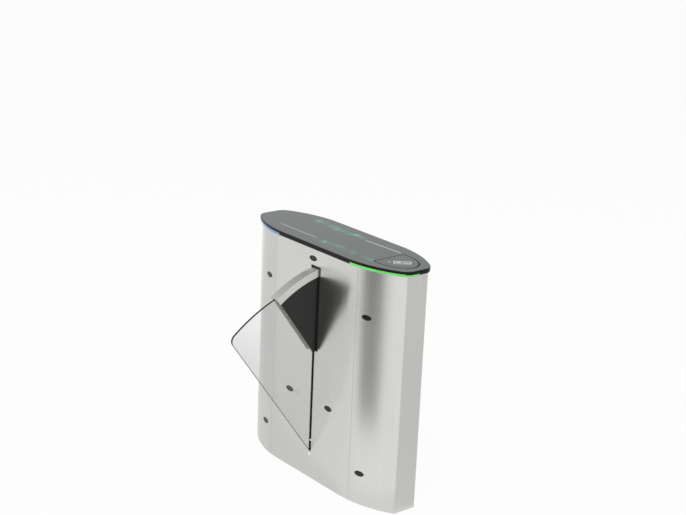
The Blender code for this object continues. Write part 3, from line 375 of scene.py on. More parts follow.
plainFinish = {  # what a finish has where it says nothing else
    "metal": 0,
    "shine": 0.5,
    "roughSpread": 0.10,
    "patchShare": 0.3,  # of the patches in the tone, against the grain
    "bumpHeight": 0.0005,
}

# grain is noise cells per metre, the same each way or along x, y and z
# spread and roughSpread are how far the tone and the roughness vary
finishes = {
    "housingSteel": dict(colour=(0.700, 0.697, 0.672), rough=0.245, metal=1, grain=(1100, 1100, 9),
                         patches=3, spread=0.035, roughSpread=0.05, bump=0.03),
    "innerSteel": dict(colour=(0.48, 0.49, 0.50), rough=0.38, metal=1, grain=420,
                       patches=14, spread=0.10, roughSpread=0.12, bump=0.05),
    "brightSteel": dict(colour=(0.66, 0.66, 0.67), rough=0.18, metal=1, grain=(2200, 60, 60),
                        patches=20, spread=0.05, roughSpread=0.08, bump=0.04),
    "blackCoat": dict(colour=(0.013, 0.015, 0.013), rough=0.46, grain=1500,
                      patches=9, spread=0.10, roughSpread=0.08, bump=0.10, shine=0.40),
    "blackPlastic": dict(colour=(0.008, 0.008, 0.008), rough=0.40, grain=1800,
                         patches=10, spread=0.12, bump=0.08, shine=0.18),
    "rimAluminium": dict(colour=(0.78, 0.78, 0.76), rough=0.40, metal=0.7, grain=(60, 900, 900),
                         patches=12, spread=0.05, roughSpread=0.06, bump=0.04),
    # painted shade: a darker copy of the rim's metal, for the rim's outer face
    "rimTop": dict(colour=(0.345, 0.343, 0.332), rough=0.44, metal=1, grain=(60, 900, 900),
                   patches=12, spread=0.06, roughSpread=0.06, bump=0.04),
    "whiteNylon": dict(colour=(0.93, 0.93, 0.915), rough=0.46, grain=700,
                       patches=25, spread=0.04, roughSpread=0.08, bump=0.05),
    "sensorBezel": dict(colour=(0.010, 0.010, 0.009), rough=0.35, grain=2200,
                        patches=60, spread=0.15, bump=0.05, shine=0.30),
    "sensorLens": dict(colour=(0.014, 0.013, 0.011), rough=0.07, grain=900,
                       patches=80, spread=0.20, roughSpread=0.04, bump=0.01, shine=0.30),
    "stopRubber": dict(colour=(0.020, 0.020, 0.020), rough=0.75, grain=900,
                       patches=40, spread=0.15, bump=0.15),
    "boardGreen": dict(colour=(0.020, 0.12, 0.05), rough=0.38, grain=500,
                       patches=50, spread=0.25, bump=0.04),
    "bronze": dict(colour=(0.45, 0.28, 0.12), rough=0.36, metal=1, grain=1500,
                   patches=40, spread=0.12, bump=0.08),
    "motorGrey": dict(colour=(0.16, 0.17, 0.18), rough=0.45, metal=0.3, grain=1300,
                      patches=20, spread=0.08, bump=0.08),
}


def startMaterial(name):
    material = bpy.data.materials.new(name)
    material.use_nodes = True
    tree = material.node_tree
    return material, tree, tree.nodes["Principled BSDF"]


def makeFinish(name, look):
    material, tree, shader = startMaterial(name)
    grain = placeGrain(tree, look["grain"], look["patches"])
    tone = blend(tree, look["patchShare"], grain["Tone"], grain["Patch"])
    dark, light = shade(look["colour"], 1 - look["spread"]), shade(look["colour"], 1 + look["spread"])
    bump = addNode(tree, "Bump", {"Height": grain["Height"], "Strength": look["bump"],
                                  "Distance": look["bumpHeight"]})
    feed(tree, shader, {
        "Base Color": mixColour(tree, tone, dark, light),
        "Roughness": between(tree, tone, 0, 1, look["rough"] - look["roughSpread"] / 2,
                             look["rough"] + look["roughSpread"] / 2),
        "Metallic": look["metal"],
        "Specular IOR Level": look["shine"],
        "Normal": bump.outputs[0],
    })
    return material


finish = {name: makeFinish(name, {**plainFinish, **look}) for name, look in finishes.items()}

diffuser = {
    "colours": {"greenDiffuser": (0.135, 0.59, 0.135), "blueDiffuser": (0.14, 0.275, 0.485)},
    "dim": 0.86,  # share of the colour where a bar is darkest
    "glow": 0.42,
    "rough": 0.35,
    "grain": 40,
    "patches": 30,
}


def makeDiffuser(name, colour, look):  # a milky light bar, a little uneven along its length
    material, tree, shader = startMaterial(name)
    grain = placeGrain(tree, look["grain"], look["patches"])
    uneven = mixColour(tree, grain["Patch"], shade(colour, look["dim"]), shade(colour))
    feed(tree, shader, {"Base Color": uneven, "Emission Color": uneven, "Emission Strength": look["glow"],
                        "Roughness": look["rough"]})
    return material


for name, colour in diffuser["colours"].items():
    finish[name] = makeDiffuser(name, colour, diffuser)

sheet = {
    "kinds": {  # colour, roughness and index of refraction
        "clearSheet": ((0.885, 0.895, 0.892), 0.015, 1.45),
        "clearEdge": ((0.34, 0.37, 0.37), 0.20, 1.25),
        # painted highlight: the edge that faces down is a lighter copy of the edge's finish
        "clearLowEdge": ((0.52, 0.55, 0.55), 0.20, 1.25),
    },
    "dim": 0.985,  # share of the colour where the sheet is darkest
    "roughest": 1.6,  # times the roughness, where it is roughest
    "grain": 30,
    "patches": 8,
}


def makeClearSheet(name, colour, rough, bend, look):
    material, tree, shader = startMaterial(name)
    grain = placeGrain(tree, look["grain"], look["patches"])
    feed(tree, shader, {
        "Base Color": mixColour(tree, grain["Patch"], shade(colour, look["dim"]), shade(colour)),
        "Roughness": between(tree, grain["Patch"], 0, 1, rough, rough * look["roughest"]),
        "Transmission Weight": 1,
        "IOR": bend,
    })
    return material


for name, values in sheet["kinds"].items():
    finish[name] = makeClearSheet(name, *values, sheet)
print("finishes made:", len(finish))


# the lid's glass: grey glass with lit marks and pale lines under it
# places and sizes in millimetres, turns in degrees; an edge fades between two distances in metres

lidMarks = {
    "glass": (0.056, 0.074, 0.067),
    "dim": 0.96,  # share of the colour where the glass is darkest
    "rough": (0.05, 0.08),
    "coatRough": 0.065,
    "coatBend": 1.3,  # index of refraction
    "grain": 50,
    "patches": 5,
    "pale": (0.42, 0.43, 0.42),
    "paleGlow": 0.3,
    # middle, half length, half width, turn
    "lines": [((168, 76), 101, 2.6, -2.2), ((-184, -73), 116, 1.6, 0)],
    "lineEdge": (0.0012, -0.0008),
    "green": (0.03, 0.55, 0.27),
    # middle, size, strength
    "spots": [((-122, 84), 13, 0.28), ((-8, 86), 14, 0.75), ((-10, -78), 11, 0.65)],
    "spotShape": (0.55, 0.30, 0.28),  # half length, half width and corner, in sizes
    "spotTurn": -38,
    "spotFade": 900,  # a size over this is how far a spot fades
    "spotInside": -0.004,
    # middle, half length, half width, strength
    "haze": [((-140, 80), 130, 14, 0.42), ((22, 82), 24, 6, 0.30), ((-14, -78), 26, 10, 0.34),
             ((90, -72), 85, 8, 0.30), ((256, -76), 28, 9, 0.26)],
    "hazeEdge": (0.020, -0.010),
    "hazePatches": 13,
    "red": (0.60, 0.05, 0.05),
    "redHaze": [((-140, -8), 30, 10, 0.03), ((-165, 122), 26, 8, 0.03)],
    "reader": {"from": 289, "round": 318, "to": 438, "half": 77, "blend": 20,
               "line": (3.2, 3.2 / 3), "colour": (0.004, 0.005, 0.004), "coat": 0.1},
    "card": {"middle": (366, 3), "half": (32, 17), "corner": 5, "turn": -50,
             "frameEdge": (0.0035, 0.0015), "fill": 0.22, "markCorner": 2, "markEdge": (0.001, -0.001),
             # along it, across it, half size
             "marks": [(-14, 3, (9, 8)), (14, -5, (12, 4)), (-50, 2, (5, 4))]},
}


barInputs = ("Middle X", "Middle Y", "Half X", "Half Y", "Corner", "Turn")


def buildBarGroup():  # distance to a bar with round corners, in metres, negative inside
    group, given, out = newGroup("roundedBar", dict.fromkeys(barInputs, 0.0), ("Distance",))
    place = addNode(group, "TexCoord").outputs["Object"]
    middle = addNode(group, "CombineXYZ", {"X": given["Middle X"], "Y": given["Middle Y"]})
    turned = addNode(group, "VectorRotate", {"Vector": place, "Center": middle.outputs[0],
                                             "Angle": given["Turn"]}, rotation_type="Z_AXIS")
    fromMiddle = addNode(group, "VectorMath", {0: turned.outputs[0], 1: middle.outputs[0]},
                         operation="SUBTRACT")
    part = addNode(group, "SeparateXYZ", {0: fromMiddle.outputs[0]})
    over = []
    for axis, half in ((0, "Half X"), (1, "Half Y")):
        core = calc(group, "SUBTRACT", given[half], given["Corner"])
        over.append(calc(group, "SUBTRACT", calc(group, "ABSOLUTE", part.outputs[axis]), core))
    square = [calc(group, "POWER", calc(group, "MAXIMUM", value, 0), 2) for value in over]
    outside = calc(group, "SQRT", calc(group, "ADD", *square))
    inside = calc(group, "MINIMUM", calc(group, "MAXIMUM", *over), 0)
    total = calc(group, "SUBTRACT", calc(group, "ADD", outside, inside), given["Corner"])
    group.links.new(total, out["Distance"])
    return group


barGroup = buildBarGroup()


def barDistance(tree, middle, half, corner, turn=0):  # sizes in millimetres, turn in degrees
    metres = [size / 1000 for size in (*middle, *half, corner)]
    return placeGroup(tree, barGroup, dict(zip(barInputs, [*metres, math.radians(turn)])))["Distance"]


def strongest(tree, masks):
    total = masks[0]
    for mask in masks[1:]:
        total = calc(tree, "MAXIMUM", total, mask)
    return total


def readerOutline(tree, look):  # straight across the lid, with a round end towards the lid's own
    place = addNode(tree, "SeparateXYZ", {0: addNode(tree, "TexCoord").outputs["Object"]}).outputs
    beyond = calc(tree, "MAXIMUM", calc(tree, "SUBTRACT", place["X"], look["round"] / 1000), 0)
    squeezed = calc(tree, "MULTIPLY", beyond, look["half"] / (look["to"] - look["round"]))
    squares = [calc(tree, "POWER", way, 2) for way in (squeezed, place["Y"])]
    side = calc(tree, "SUBTRACT", calc(tree, "SQRT", calc(tree, "ADD", *squares)), look["half"] / 1000)
    start = calc(tree, "SUBTRACT", look["from"] / 1000, place["X"])
    edge = calc(tree, "ABSOLUTE", calc(tree, "SMOOTH_MAX", side, start, look["blend"] / 1000))
    return between(tree, edge, *[distance / 1000 for distance in look["line"]])


def cardSign(tree, look):  # a plain card with a chip and a stripe, and a small dot beside it
    lean = math.radians(-look["turn"])
    card = barDistance(tree, look["middle"], look["half"], look["corner"], look["turn"])
    masks = [between(tree, calc(tree, "ABSOLUTE", card), *look["frameEdge"])]
    masks.append(between(tree, card, *look["markEdge"], 0, look["fill"]))
    for along, across, half in look["marks"]:
        x = look["middle"][0] + along * math.cos(lean) - across * math.sin(lean)
        y = look["middle"][1] + along * math.sin(lean) + across * math.cos(lean)
        far = barDistance(tree, (x, y), half, look["markCorner"], look["turn"])
        masks.append(between(tree, far, *look["markEdge"]))
    return strongest(tree, masks)


def greenSpot(tree, middle, size, strength, look):
    length, width, corner = [size * share for share in look["spotShape"]]
    far = barDistance(tree, middle, (length, width), corner, look["spotTurn"])
    return between(tree, far, size / look["spotFade"], look["spotInside"], 0, strength)


def hazeOf(tree, patches, look):
    return strongest(tree, [between(tree, barDistance(tree, middle, (length, width), width),
                                    *look["hazeEdge"], 0, strength)
                            for middle, length, width, strength in patches])


def makeLidGlass(look):
    material, tree, shader = startMaterial("lidGlass")
    grain = placeGrain(tree, look["grain"], look["patches"])
    broken = placeGrain(tree, look["grain"], look["hazePatches"])["Patch"]
    masks = [cardSign(tree, look["card"])]
    for middle, length, width, turn in look["lines"]:
        far = barDistance(tree, middle, (length, width), width, turn)
        masks.append(between(tree, far, *look["lineEdge"]))
    pale = strongest(tree, masks)
    outline = readerOutline(tree, look["reader"])
    base = mixColour(tree, grain["Patch"], shade(look["glass"], look["dim"]), shade(look["glass"]))
    base = mixColour(tree, pale, base, shade(look["pale"]))
    base = mixColour(tree, outline, base, shade(look["reader"]["colour"]))
    spots = [greenSpot(tree, *spot, look) for spot in look["spots"]]
    haze = calc(tree, "MULTIPLY", hazeOf(tree, look["haze"], look), broken)
    paleGlow = calc(tree, "MULTIPLY", pale, look["paleGlow"])
    glow = mixColour(tree, paleGlow, shade((0, 0, 0)), shade(look["pale"]))
    glow = mixColour(tree, strongest(tree, [*spots, haze]), glow, shade(look["green"]))
    glow = mixColour(tree, hazeOf(tree, look["redHaze"], look), glow, shade(look["red"]))
    feed(tree, shader, {
        "Base Color": base,
        "Emission Color": glow,
        "Emission Strength": 1,
        "Specular IOR Level": 0,
        "Coat IOR": look["coatBend"],
        "Coat Roughness": look["coatRough"],
        "Coat Weight": between(tree, outline, 0, 1, 1, look["reader"]["coat"]),
        "Roughness": between(tree, grain["Patch"], 0, 1, *look["rough"]),
    })
    return material


finish["lidGlass"] = makeLidGlass(lidMarks)
print("lid glass made")


# studio: white surroundings, three soft lamps and a pale floor

studio = {
    "surroundLight": 0.62,  # on matt surfaces
    "lamps": [((2.4, -3.4, 4.6), 3.2, 95), ((-3.6, -2.4, 3.4), 3.0, 36), ((0.5, 3.8, 4.2), 3.0, 34)],
    "lampAim": (0, 0, 0.5),
    "floorSize": 60,
    "floorBelow": 0.0004,  # so that it doesn't lie in the base plate's underside
    "floorGrey": (0.86, 0.88),
    "floorRough": 0.9,
    "floorGrain": 90,
    "floorPatches": 2,
    "floorGlow": 0.93,  # share of the floor that is white whatever falls on it
}

floorTone = {  # how bright the floor looks in the steel; a fade has the distances where it starts and ends
    "lane": 0.905,  # on the lane side,
    "far": 0.80,  # on the curve at its far end,
    "curve": 1.0,  # on the curve at its near end and behind the cabinet,
    "end": 0.745,  # on the flat end,
    "band": 0.20,  # and in the dark band on the near curve
    "from": (0.355, 0.1),  # the place on the near curve, x and y, that aside and ahead are measured from
    "least": 0.05,  # aside is measured in distances ahead, no nearer than this
    "laneFade": (-0.15, -0.35),  # over y
    "rearFade": (0.25, 0.9),
    "farFade": (-2.1, -3.6),  # over aside
    "curveFade": (-0.98, -0.62),
    "endFade": ((0.462, 0.50), (-0.30, 0.10)),  # over x and y
    "bandSides": ((-0.65, -0.50), (0.09, -0.16)),  # over aside
    "bandStart": ((0.62, 1.0, 0, 0.78), (1.0, 2.6, 0, 0.22)),  # over ahead, in two steps
    "bandStop": (9.0, 6.0),
}


def addLamp(place, size, power, aim):
    data = bpy.data.lights.new("softLamp", "AREA")
    data.shape = "DISK"
    data.size = size
    data.energy = power
    lamp = addObject("softLamp", data)
    lamp.location = place
    lamp.rotation_euler = (Vector(aim) - lamp.location).to_track_quat("-Z", "Y").to_euler()


def seenDirectly(tree):  # by the camera, in a reflection or through glass
    path = addNode(tree, "LightPath").outputs
    seen = strongest(tree, [path["Is " + kind + " Ray"] for kind in ("Camera", "Glossy", "Transmission")])
    return seen, path


def addSurroundings(look):
    world = bpy.data.worlds.new("studio")
    bpy.context.scene.world = world
    world.use_nodes = True
    tree = world.node_tree
    seen, _ = seenDirectly(tree)
    light = between(tree, seen, 0, 1, look["surroundLight"], 1.0)
    feed(tree, tree.nodes["Background"], {"Color": (1, 1, 1, 1), "Strength": light})


def toneInSteel(tree, look):
    place = addNode(tree, "SeparateXYZ", {0: addNode(tree, "TexCoord").outputs["Object"]}).outputs
    fromX, fromY = look["from"]
    ahead = calc(tree, "SUBTRACT", calc(tree, "ABSOLUTE", place["Y"]), fromY)
    aside = calc(tree, "SUBTRACT", place["X"], fromX)
    aside = calc(tree, "DIVIDE", aside, calc(tree, "MAXIMUM", ahead, look["least"]))
    lane = between(tree, place["Y"], *look["laneFade"])
    rear = between(tree, place["Y"], *look["rearFade"])
    nearCurve = calc(tree, "MULTIPLY", between(tree, aside, *look["curveFade"]), lane)
    endX, endY = look["endFade"]
    end = calc(tree, "MULTIPLY", between(tree, place["X"], *endX), between(tree, place["Y"], *endY))
    across = calc(tree, "MULTIPLY", *[between(tree, aside, *side) for side in look["bandSides"]])
    along = calc(tree, "ADD", *[between(tree, ahead, *step) for step in look["bandStart"]])
    along = calc(tree, "MULTIPLY", along, between(tree, ahead, *look["bandStop"]))
    band = calc(tree, "MULTIPLY", calc(tree, "MULTIPLY", across, along), lane)
    tone = between(tree, aside, *look["farFade"], look["lane"], look["far"])
    tone = blend(tree, calc(tree, "MAXIMUM", nearCurve, rear), tone, look["curve"])
    tone = blend(tree, end, tone, look["end"])
    return blend(tree, band, tone, look["band"])


def makeFloor(look):
    material, tree, shader = startMaterial("paleFloor")
    grain = placeGrain(tree, look["floorGrain"], look["floorPatches"])
    dark, light = [shade((grey, grey, grey)) for grey in look["floorGrey"]]
    feed(tree, shader, {"Base Color": mixColour(tree, grain["Tone"], dark, light),
                        "Roughness": look["floorRough"], "Specular IOR Level": 0})
    seen, path = seenDirectly(tree)
    tone = blend(tree, path["Is Glossy Ray"], 1.0, toneInSteel(tree, floorTone))
    glow = addNode(tree, "Emission", {"Strength": tone})
    share = calc(tree, "MULTIPLY", seen, look["floorGlow"])
    above = addNode(tree, "MixShader", {0: share, 1: shader.outputs[0], 2: glow.outputs[0]})
    below = addNode(tree, "BsdfTransparent")
    back = addNode(tree, "NewGeometry").outputs["Backfacing"]
    whole = addNode(tree, "MixShader", {0: back, 1: above.outputs[0], 2: below.outputs[0]})
    tree.links.new(whole.outputs[0], tree.nodes["Material Output"].inputs["Surface"])
    return material


def addFloor(look):
    startFresh()
    bpy.ops.mesh.primitive_plane_add(size=look["floorSize"], location=(0, 0, -look["floorBelow"]))
    floor = nameNew("floor")
    floor.data.materials.append(makeFloor(look))


for lamp in studio["lamps"]:
    addLamp(*lamp, studio["lampAim"])
addSurroundings(studio)
addFloor(studio)
print("studio set")


# the cabinet's plan: straight sides, curved towards a flat at each end

plan = {
    "halfLength": 0.460,
    "halfWidth": 0.130,
    "straight": 0.205,  # half of the straight run
    "flatHalf": 0.052,
    "cornerRadius": 0.008,  # in the steel
    "lidCorner": 0.055,  # at the lid's edge, as corners get rounder outwards
    "gap": 0.0003,  # between the steel and the bars round its top
    "overhang": 0.011,  # of the lid
    "curveSteps": 26,
    "cornerSteps": 8,
    "mirrorMerge": 0.00005,
}
bulge = plan["halfWidth"] - plan["flatHalf"]
plan["radius"] = ((plan["halfLength"] - plan["straight"]) ** 2 + bulge**2) / (2 * bulge)
plan["centreY"] = plan["radius"] - plan["halfWidth"]  # of the lane side's curve


def cornerOf(offset):  # the lane side's corner: radius, middle, and the curve's turn where it meets it
    beyond = max(0, offset - plan["gap"]) / (plan["overhang"] - plan["gap"])
    softer = beyond * (plan["lidCorner"] - plan["cornerRadius"] - plan["overhang"])
    radius = plan["cornerRadius"] + offset + softer
    x, across = plan["halfLength"] + offset - radius, plan["radius"] + offset - radius
    lean = math.asin((x - plan["straight"]) / across)
    return radius, x, plan["centreY"] - across * math.cos(lean), lean


def addStrip(name, offset, low, high):  # an upright skin all round, outside the steel's face by offset
    startFresh()
    straight, centreY = plan["straight"], plan["centreY"]
    corner, cornerX, cornerY, lean = cornerOf(offset)
    curveEnd = straight + (plan["radius"] + offset) * math.sin(lean)
    bpy.ops.mesh.primitive_plane_add(size=1, rotation=(math.pi / 2, 0, 0),
                                     location=(straight / 2, -plan["halfWidth"] - offset, (low + high) / 2))
    bpy.context.object.scale = (straight, high - low, 1)
    obj = nameNew(name)
    startEdit(obj)
    pickEdges(obj, lambda place: place.x > straight - tiny)
    bpy.ops.mesh.spin(steps=plan["curveSteps"], angle=-lean, center=(straight, centreY, 0), axis=(0, 0, 1))
    pickEdges(obj, lambda place: place.x > curveEnd - tiny)
    bpy.ops.mesh.spin(steps=plan["cornerSteps"], angle=lean - math.pi / 2, center=(cornerX, cornerY, 0),
                      axis=(0, 0, 1))
    pickEdges(obj, lambda place: place.x > cornerX + corner - tiny)
    bpy.ops.mesh.extrude_region_move(TRANSFORM_OT_translate={"value": (0, -cornerY, 0)})
    endEdit()
    modify(obj, "MIRROR", use_axis=(True, True, False), merge_threshold=plan["mirrorMerge"])
    facesOut(obj)
    return obj


def addSlab(name, offset, low, high):  # the same plan, closed above and below
    obj = addStrip(name, offset, low, high)
    startEdit(obj)
    bpy.ops.mesh.select_mode(type="EDGE")
    bpy.ops.mesh.select_all(action="DESELECT")
    bpy.ops.mesh.select_non_manifold()
    bpy.ops.mesh.fill_holes(sides=0)
    endEdit()
    facesOut(obj)
    return obj


def addRing(name, outer, inner, low, high):  # a bar all round, between two offsets
    ring = addSlab(name, outer, low, high)
    cutAway(ring, addSlab("inside", inner, low - cutBeyond, high + cutBeyond))
    return ring


def partOf(strip, name, cuts, fill=False):  # a copy without what lies beyond each cut
    obj = duplicateOf(strip, name)
    startEdit(obj)
    for place, direction in cuts:
        bpy.ops.mesh.select_all(action="SELECT")
        bpy.ops.mesh.bisect(plane_co=place, plane_no=direction, clear_outer=True, use_fill=fill)
    endEdit()
    return obj


def planNormal(place):  # which way the housing faces at a place on it
    _, cornerX, cornerY, lean = cornerOf(0)
    x, y = abs(place.x), abs(place.y)
    across, along = x - plan["straight"], y + plan["centreY"]
    if across <= 0:
        across, along = 0, 1
    elif math.atan2(across, along) > lean:
        across, along = (x - cornerX, y + cornerY) if y > -cornerY else (1, 0)
    return Vector((math.copysign(across, place.x), math.copysign(along, place.y), 0)).normalized()


onSkin = 0.98  # the share of the curve's normal in a face's own, on the outer face


def smoothSkin(panel):  # the outer face takes the true curve's normals
    mesh = panel.data
    normals = [Vector(corner.vector) for corner in mesh.corner_normals]
    for face in mesh.polygons:
        for loop in face.loop_indices:
            outward = planNormal(mesh.vertices[mesh.loops[loop].vertex_index].co)
            if face.normal.dot(outward) > onSkin:
                normals[loop] = outward
    mesh.normals_split_custom_set(normals)


def surfacePlace(x):  # where x lies on the lane face, and which way the face is turned there
    past = max(0, abs(x) - plan["straight"])
    lean = math.asin(past / plan["radius"])
    y = plan["centreY"] - plan["radius"] * math.cos(lean)
    return y, math.copysign(lean, x)


# housing: two side panels and two end shells in 2 mm steel

housing = {
    "top": 0.980,
    "sheet": 0.002,
    "seam": 0.261,
    "seamGap": 0.0006,
    "edge": 0.0004,
    "slotMiddle": 0.009,
    "wideHalf": 0.0247,
    "wideFrom": 0.559,
    "wideTo": 0.911,
    "narrowHalf": 0.008,
    "narrowFrom": 0.096,
    "slotLap": 0.001,  # of the narrow slot's cutter into the wide slot
    "sealWidth": 0.0050,
    "sealUnder": 0.0002,  # how far the painted shade strip laps over the slot's edge
    "sealProud": 0.0008,
}

sensor = {
    "length": 0.0445,
    "height": 0.0220,
    "lip": 0.003,  # how far the bezel laps over the hole's edge
    "gap": 0.0003,
    "proud": 0.0013,
    "depth": 0.018,
    "sunk": 0.0005,
    "steps": ((0.0022, 0.0005), (0.0008, 0.0003)),  # the bezel's two steps inwards, width and depth
    "edge": 0.00035,
    "lensShare": 0.7,  # of the half length and half height
    "places": {
        "top": (-0.011, 0.938),
        "near_high": (0.313, 0.785),
        "near_low": (0.313, 0.132),
        "far_high": (-0.313, 0.785),
        "far_low": (-0.313, 0.132),
        "near_middle": (0.118, 0.342),
        "far_middle": (-0.140, 0.342),
    },
}


def addOval(name, length, height, depth):  # an ellipse that faces -Y, its front at y = 0
    return addRound(name, height / 2, depth, (0, depth / 2, 0), lying, stretch=length / height)


def onSurface(obj, x, z):  # carries a piece made at the origin to its place on the lane face
    y, lean = surfacePlace(x)
    return moveTo(obj, (x, y, z), lean)


def addSensorHoles(sizes):
    less = 2 * sizes["lip"]
    pattern = addOval("hole", sizes["length"] - less, sizes["height"] - less, 2 * cutBeyond)
    moveTo(pattern, (0, -cutBeyond, 0))
    holes = [onSurface(duplicateOf(pattern, "hole"), x, z) for x, z in sizes["places"].values()]
    bpy.data.objects.remove(pattern)
    return joinAll(holes, "sensorHoles")


def cutSlot(panel, sizes):
    x, y, narrowHalf = sizes["slotMiddle"], -plan["halfWidth"], sizes["narrowHalf"]
    foot = sizes["narrowFrom"] + narrowHalf
    for name, half, low, high in (("wideSlot", sizes["wideHalf"], sizes["wideFrom"], sizes["wideTo"]),
                                  ("narrowSlot", narrowHalf, foot, sizes["wideFrom"] + sizes["slotLap"])):
        cutAway(panel, addBlock(name, (x - half, y - cutBeyond, low), (x + half, y + cutBeyond, high)))
    cutAway(panel, addRound("slotFoot", narrowHalf, 2 * cutBeyond, (x, y, foot), lying))


def makeHousing(sizes):
    skin = addStrip("skin", 0, 0, sizes["top"])
    inner, outer = (sizes["seam"] - sizes["seamGap"] / 2), (sizes["seam"] + sizes["seamGap"] / 2)
    sides = [((inner, 0, 0), (1, 0, 0)), ((-inner, 0, 0), (-1, 0, 0))]
    parts = {
        "laneSidePanel": ("lane_side_panel", [*sides, ((0, 0, 0), (0, 1, 0))]),
        "rearSidePanel": ("rear_side_panel", [*sides, ((0, 0, 0), (0, -1, 0))]),
        "nearEndShell": ("near_end_shell", [((outer, 0, 0), (-1, 0, 0))]),
        "farEndShell": ("far_end_shell", [((-outer, 0, 0), (1, 0, 0))]),
    }
    holes = addSensorHoles(sensor)
    for name, (node, cuts) in parts.items():
        panel = partOf(skin, name, cuts)
        modify(panel, "SOLIDIFY", thickness=sizes["sheet"], offset=-1, use_even_offset=True)
        if name == "laneSidePanel":
            cutSlot(panel, sizes)
        if name != "rearSidePanel":
            cutAway(panel, holes, keepCutter=True)
        roundEdges(panel, sizes["edge"])
        finishPiece(panel, "root", "housing_steel", [node])
        smoothSkin(panel)
    bpy.data.objects.remove(holes)
    bpy.data.objects.remove(skin)


def makeSensors(sizes):
    pattern = addOval("window", sizes["length"], sizes["height"], sizes["proud"])
    startEdit(pattern)
    pickFaces(pattern, lambda centre, normal: normal.y < -squarely)
    for width, depth in sizes["steps"]:
        bpy.ops.mesh.inset(thickness=width)
        bpy.ops.transform.translate(value=(0, depth, 0))
    endEdit()
    less = 2 * sizes["lip"] + 2 * sizes["gap"]
    body = addOval("body", sizes["length"] - less, sizes["height"] - less, sizes["depth"])
    moveTo(pattern, (0, -sizes["proud"], 0))
    unite(pattern, moveTo(body, (0, sizes["sunk"], 0)))
    roundEdges(pattern, sizes["edge"], angle=sharpCorner)
    for name, (x, z) in sizes["places"].items():
        window = onSurface(duplicateOf(pattern, "window_" + name), x, z)
        y, lean = surfacePlace(x)
        middle = Vector((x, y, z))
        outward = Vector((math.sin(lean), -math.cos(lean), 0))

        def pick(centre, normal):
            away = centre - middle
            flat = away - outward * away.dot(outward)
            along = math.hypot(flat.x, flat.y) / (sizes["length"] / 2)
            reach = math.hypot(along, flat.z / (sizes["height"] / 2))
            return int(reach < sizes["lensShare"] and normal.dot(outward) > roughly)

        sortFaces(window, ("sensorBezel", "sensorLens"), pick)
        finishPiece(window, "root", "sensor_smoke", ["sensor_window_" + name])
    bpy.data.objects.remove(pattern)


def makeSlotShadeStrips(sizes):  # painted shade: black edging down both sides of the wide slot, standing in for the shade in the gap there
    y = -plan["halfWidth"]
    for name, side in (("nearSlotSeal", 1), ("farSlotSeal", -1)):
        shifts = (-sizes["sealUnder"], sizes["sealWidth"])
        edges = [sizes["slotMiddle"] + side * (sizes["wideHalf"] + shift) for shift in shifts]
        shadeStrip = addBlock(name, (min(edges), y - sizes["sealProud"], sizes["wideFrom"]),
                        (max(edges), y + sizes["sheet"] / 2, sizes["wideTo"]), sizes["sealProud"] / 2)
        finishPiece(shadeStrip, "root", "stop_rubber")


makeHousing(housing)
makeSlotShadeStrips(housing)
print("housing made")
makeSensors(sensor)
print("sensor windows made")


# lid: glass on a black tray, with lights and trim round its edge

lid = {
    "glassTo": 1.000,
    "glassFrom": 0.9943,
    "trayTo": 0.9940,
    "trayFrom": 0.9860,
    "trayWall": 0.0025,
    "trayInside": 0.0005,  # how far the tray lies inside the glass's edge
    "frameTo": 0.9857,
    "proud": 0.0095,
    "stripHeight": 0.0075,
    "trimHeight": 0.0052,
    "glowLip": 0.0026,
    "glowFacing": 0.75,  # the lip takes the bars' painted glow where it faces the lane by more than this share
    "lightFrom": 0.225,
    "lightGap": 0.0003,
    "glassEdge": 0.0009,
    "trayEdge": 0.0005,
    "barEdge": 0.0008,
}


def makeLid(sizes):
    glass = addSlab("lidGlass", plan["overhang"], sizes["glassFrom"], sizes["glassTo"])
    roundEdges(glass, sizes["glassEdge"], 3, sharpCorner)
    sortFaces(glass, ("lidGlass", "blackPlastic"), lambda centre, normal: int(abs(normal.z) < roughly))
    finishPiece(glass, "lid", "dark_glass", ["top_glass"])
    tray = addSlab("lidTray", plan["overhang"] - sizes["trayInside"], sizes["trayFrom"], sizes["trayTo"])
    recess(tray, sizes["trayWall"], sizes["trayTo"] - sizes["trayFrom"] - sizes["trayWall"])
    # painted light: the tray's lip just above the light bars takes their glowing finish, for their light
    # falling on it
    lip = sizes["trayFrom"] + sizes["glowLip"]
    splitAt(tray, (0, 0, lip), (0, 0, 1))
    light = sizes["lightFrom"]
    for x in (light, -light):
        splitAt(tray, (x, 0, 0), (1, 0, 0))
    roundEdges(tray, sizes["trayEdge"], angle=sharpCorner)

    def pick(centre, normal):
        facing = planNormal(centre)
        outer = normal.z > -squarely and facing.dot(normal) > 0
        lit = outer and centre.z < lip and facing.y < -sizes["glowFacing"]
        return int(lit and centre.x > light) + 2 * int(lit and centre.x < -light)

    sortFaces(tray, ("blackPlastic", "greenDiffuser", "blueDiffuser"), pick)
    finishPiece(tray, "lid", "black_plastic", ["lid_tray"])


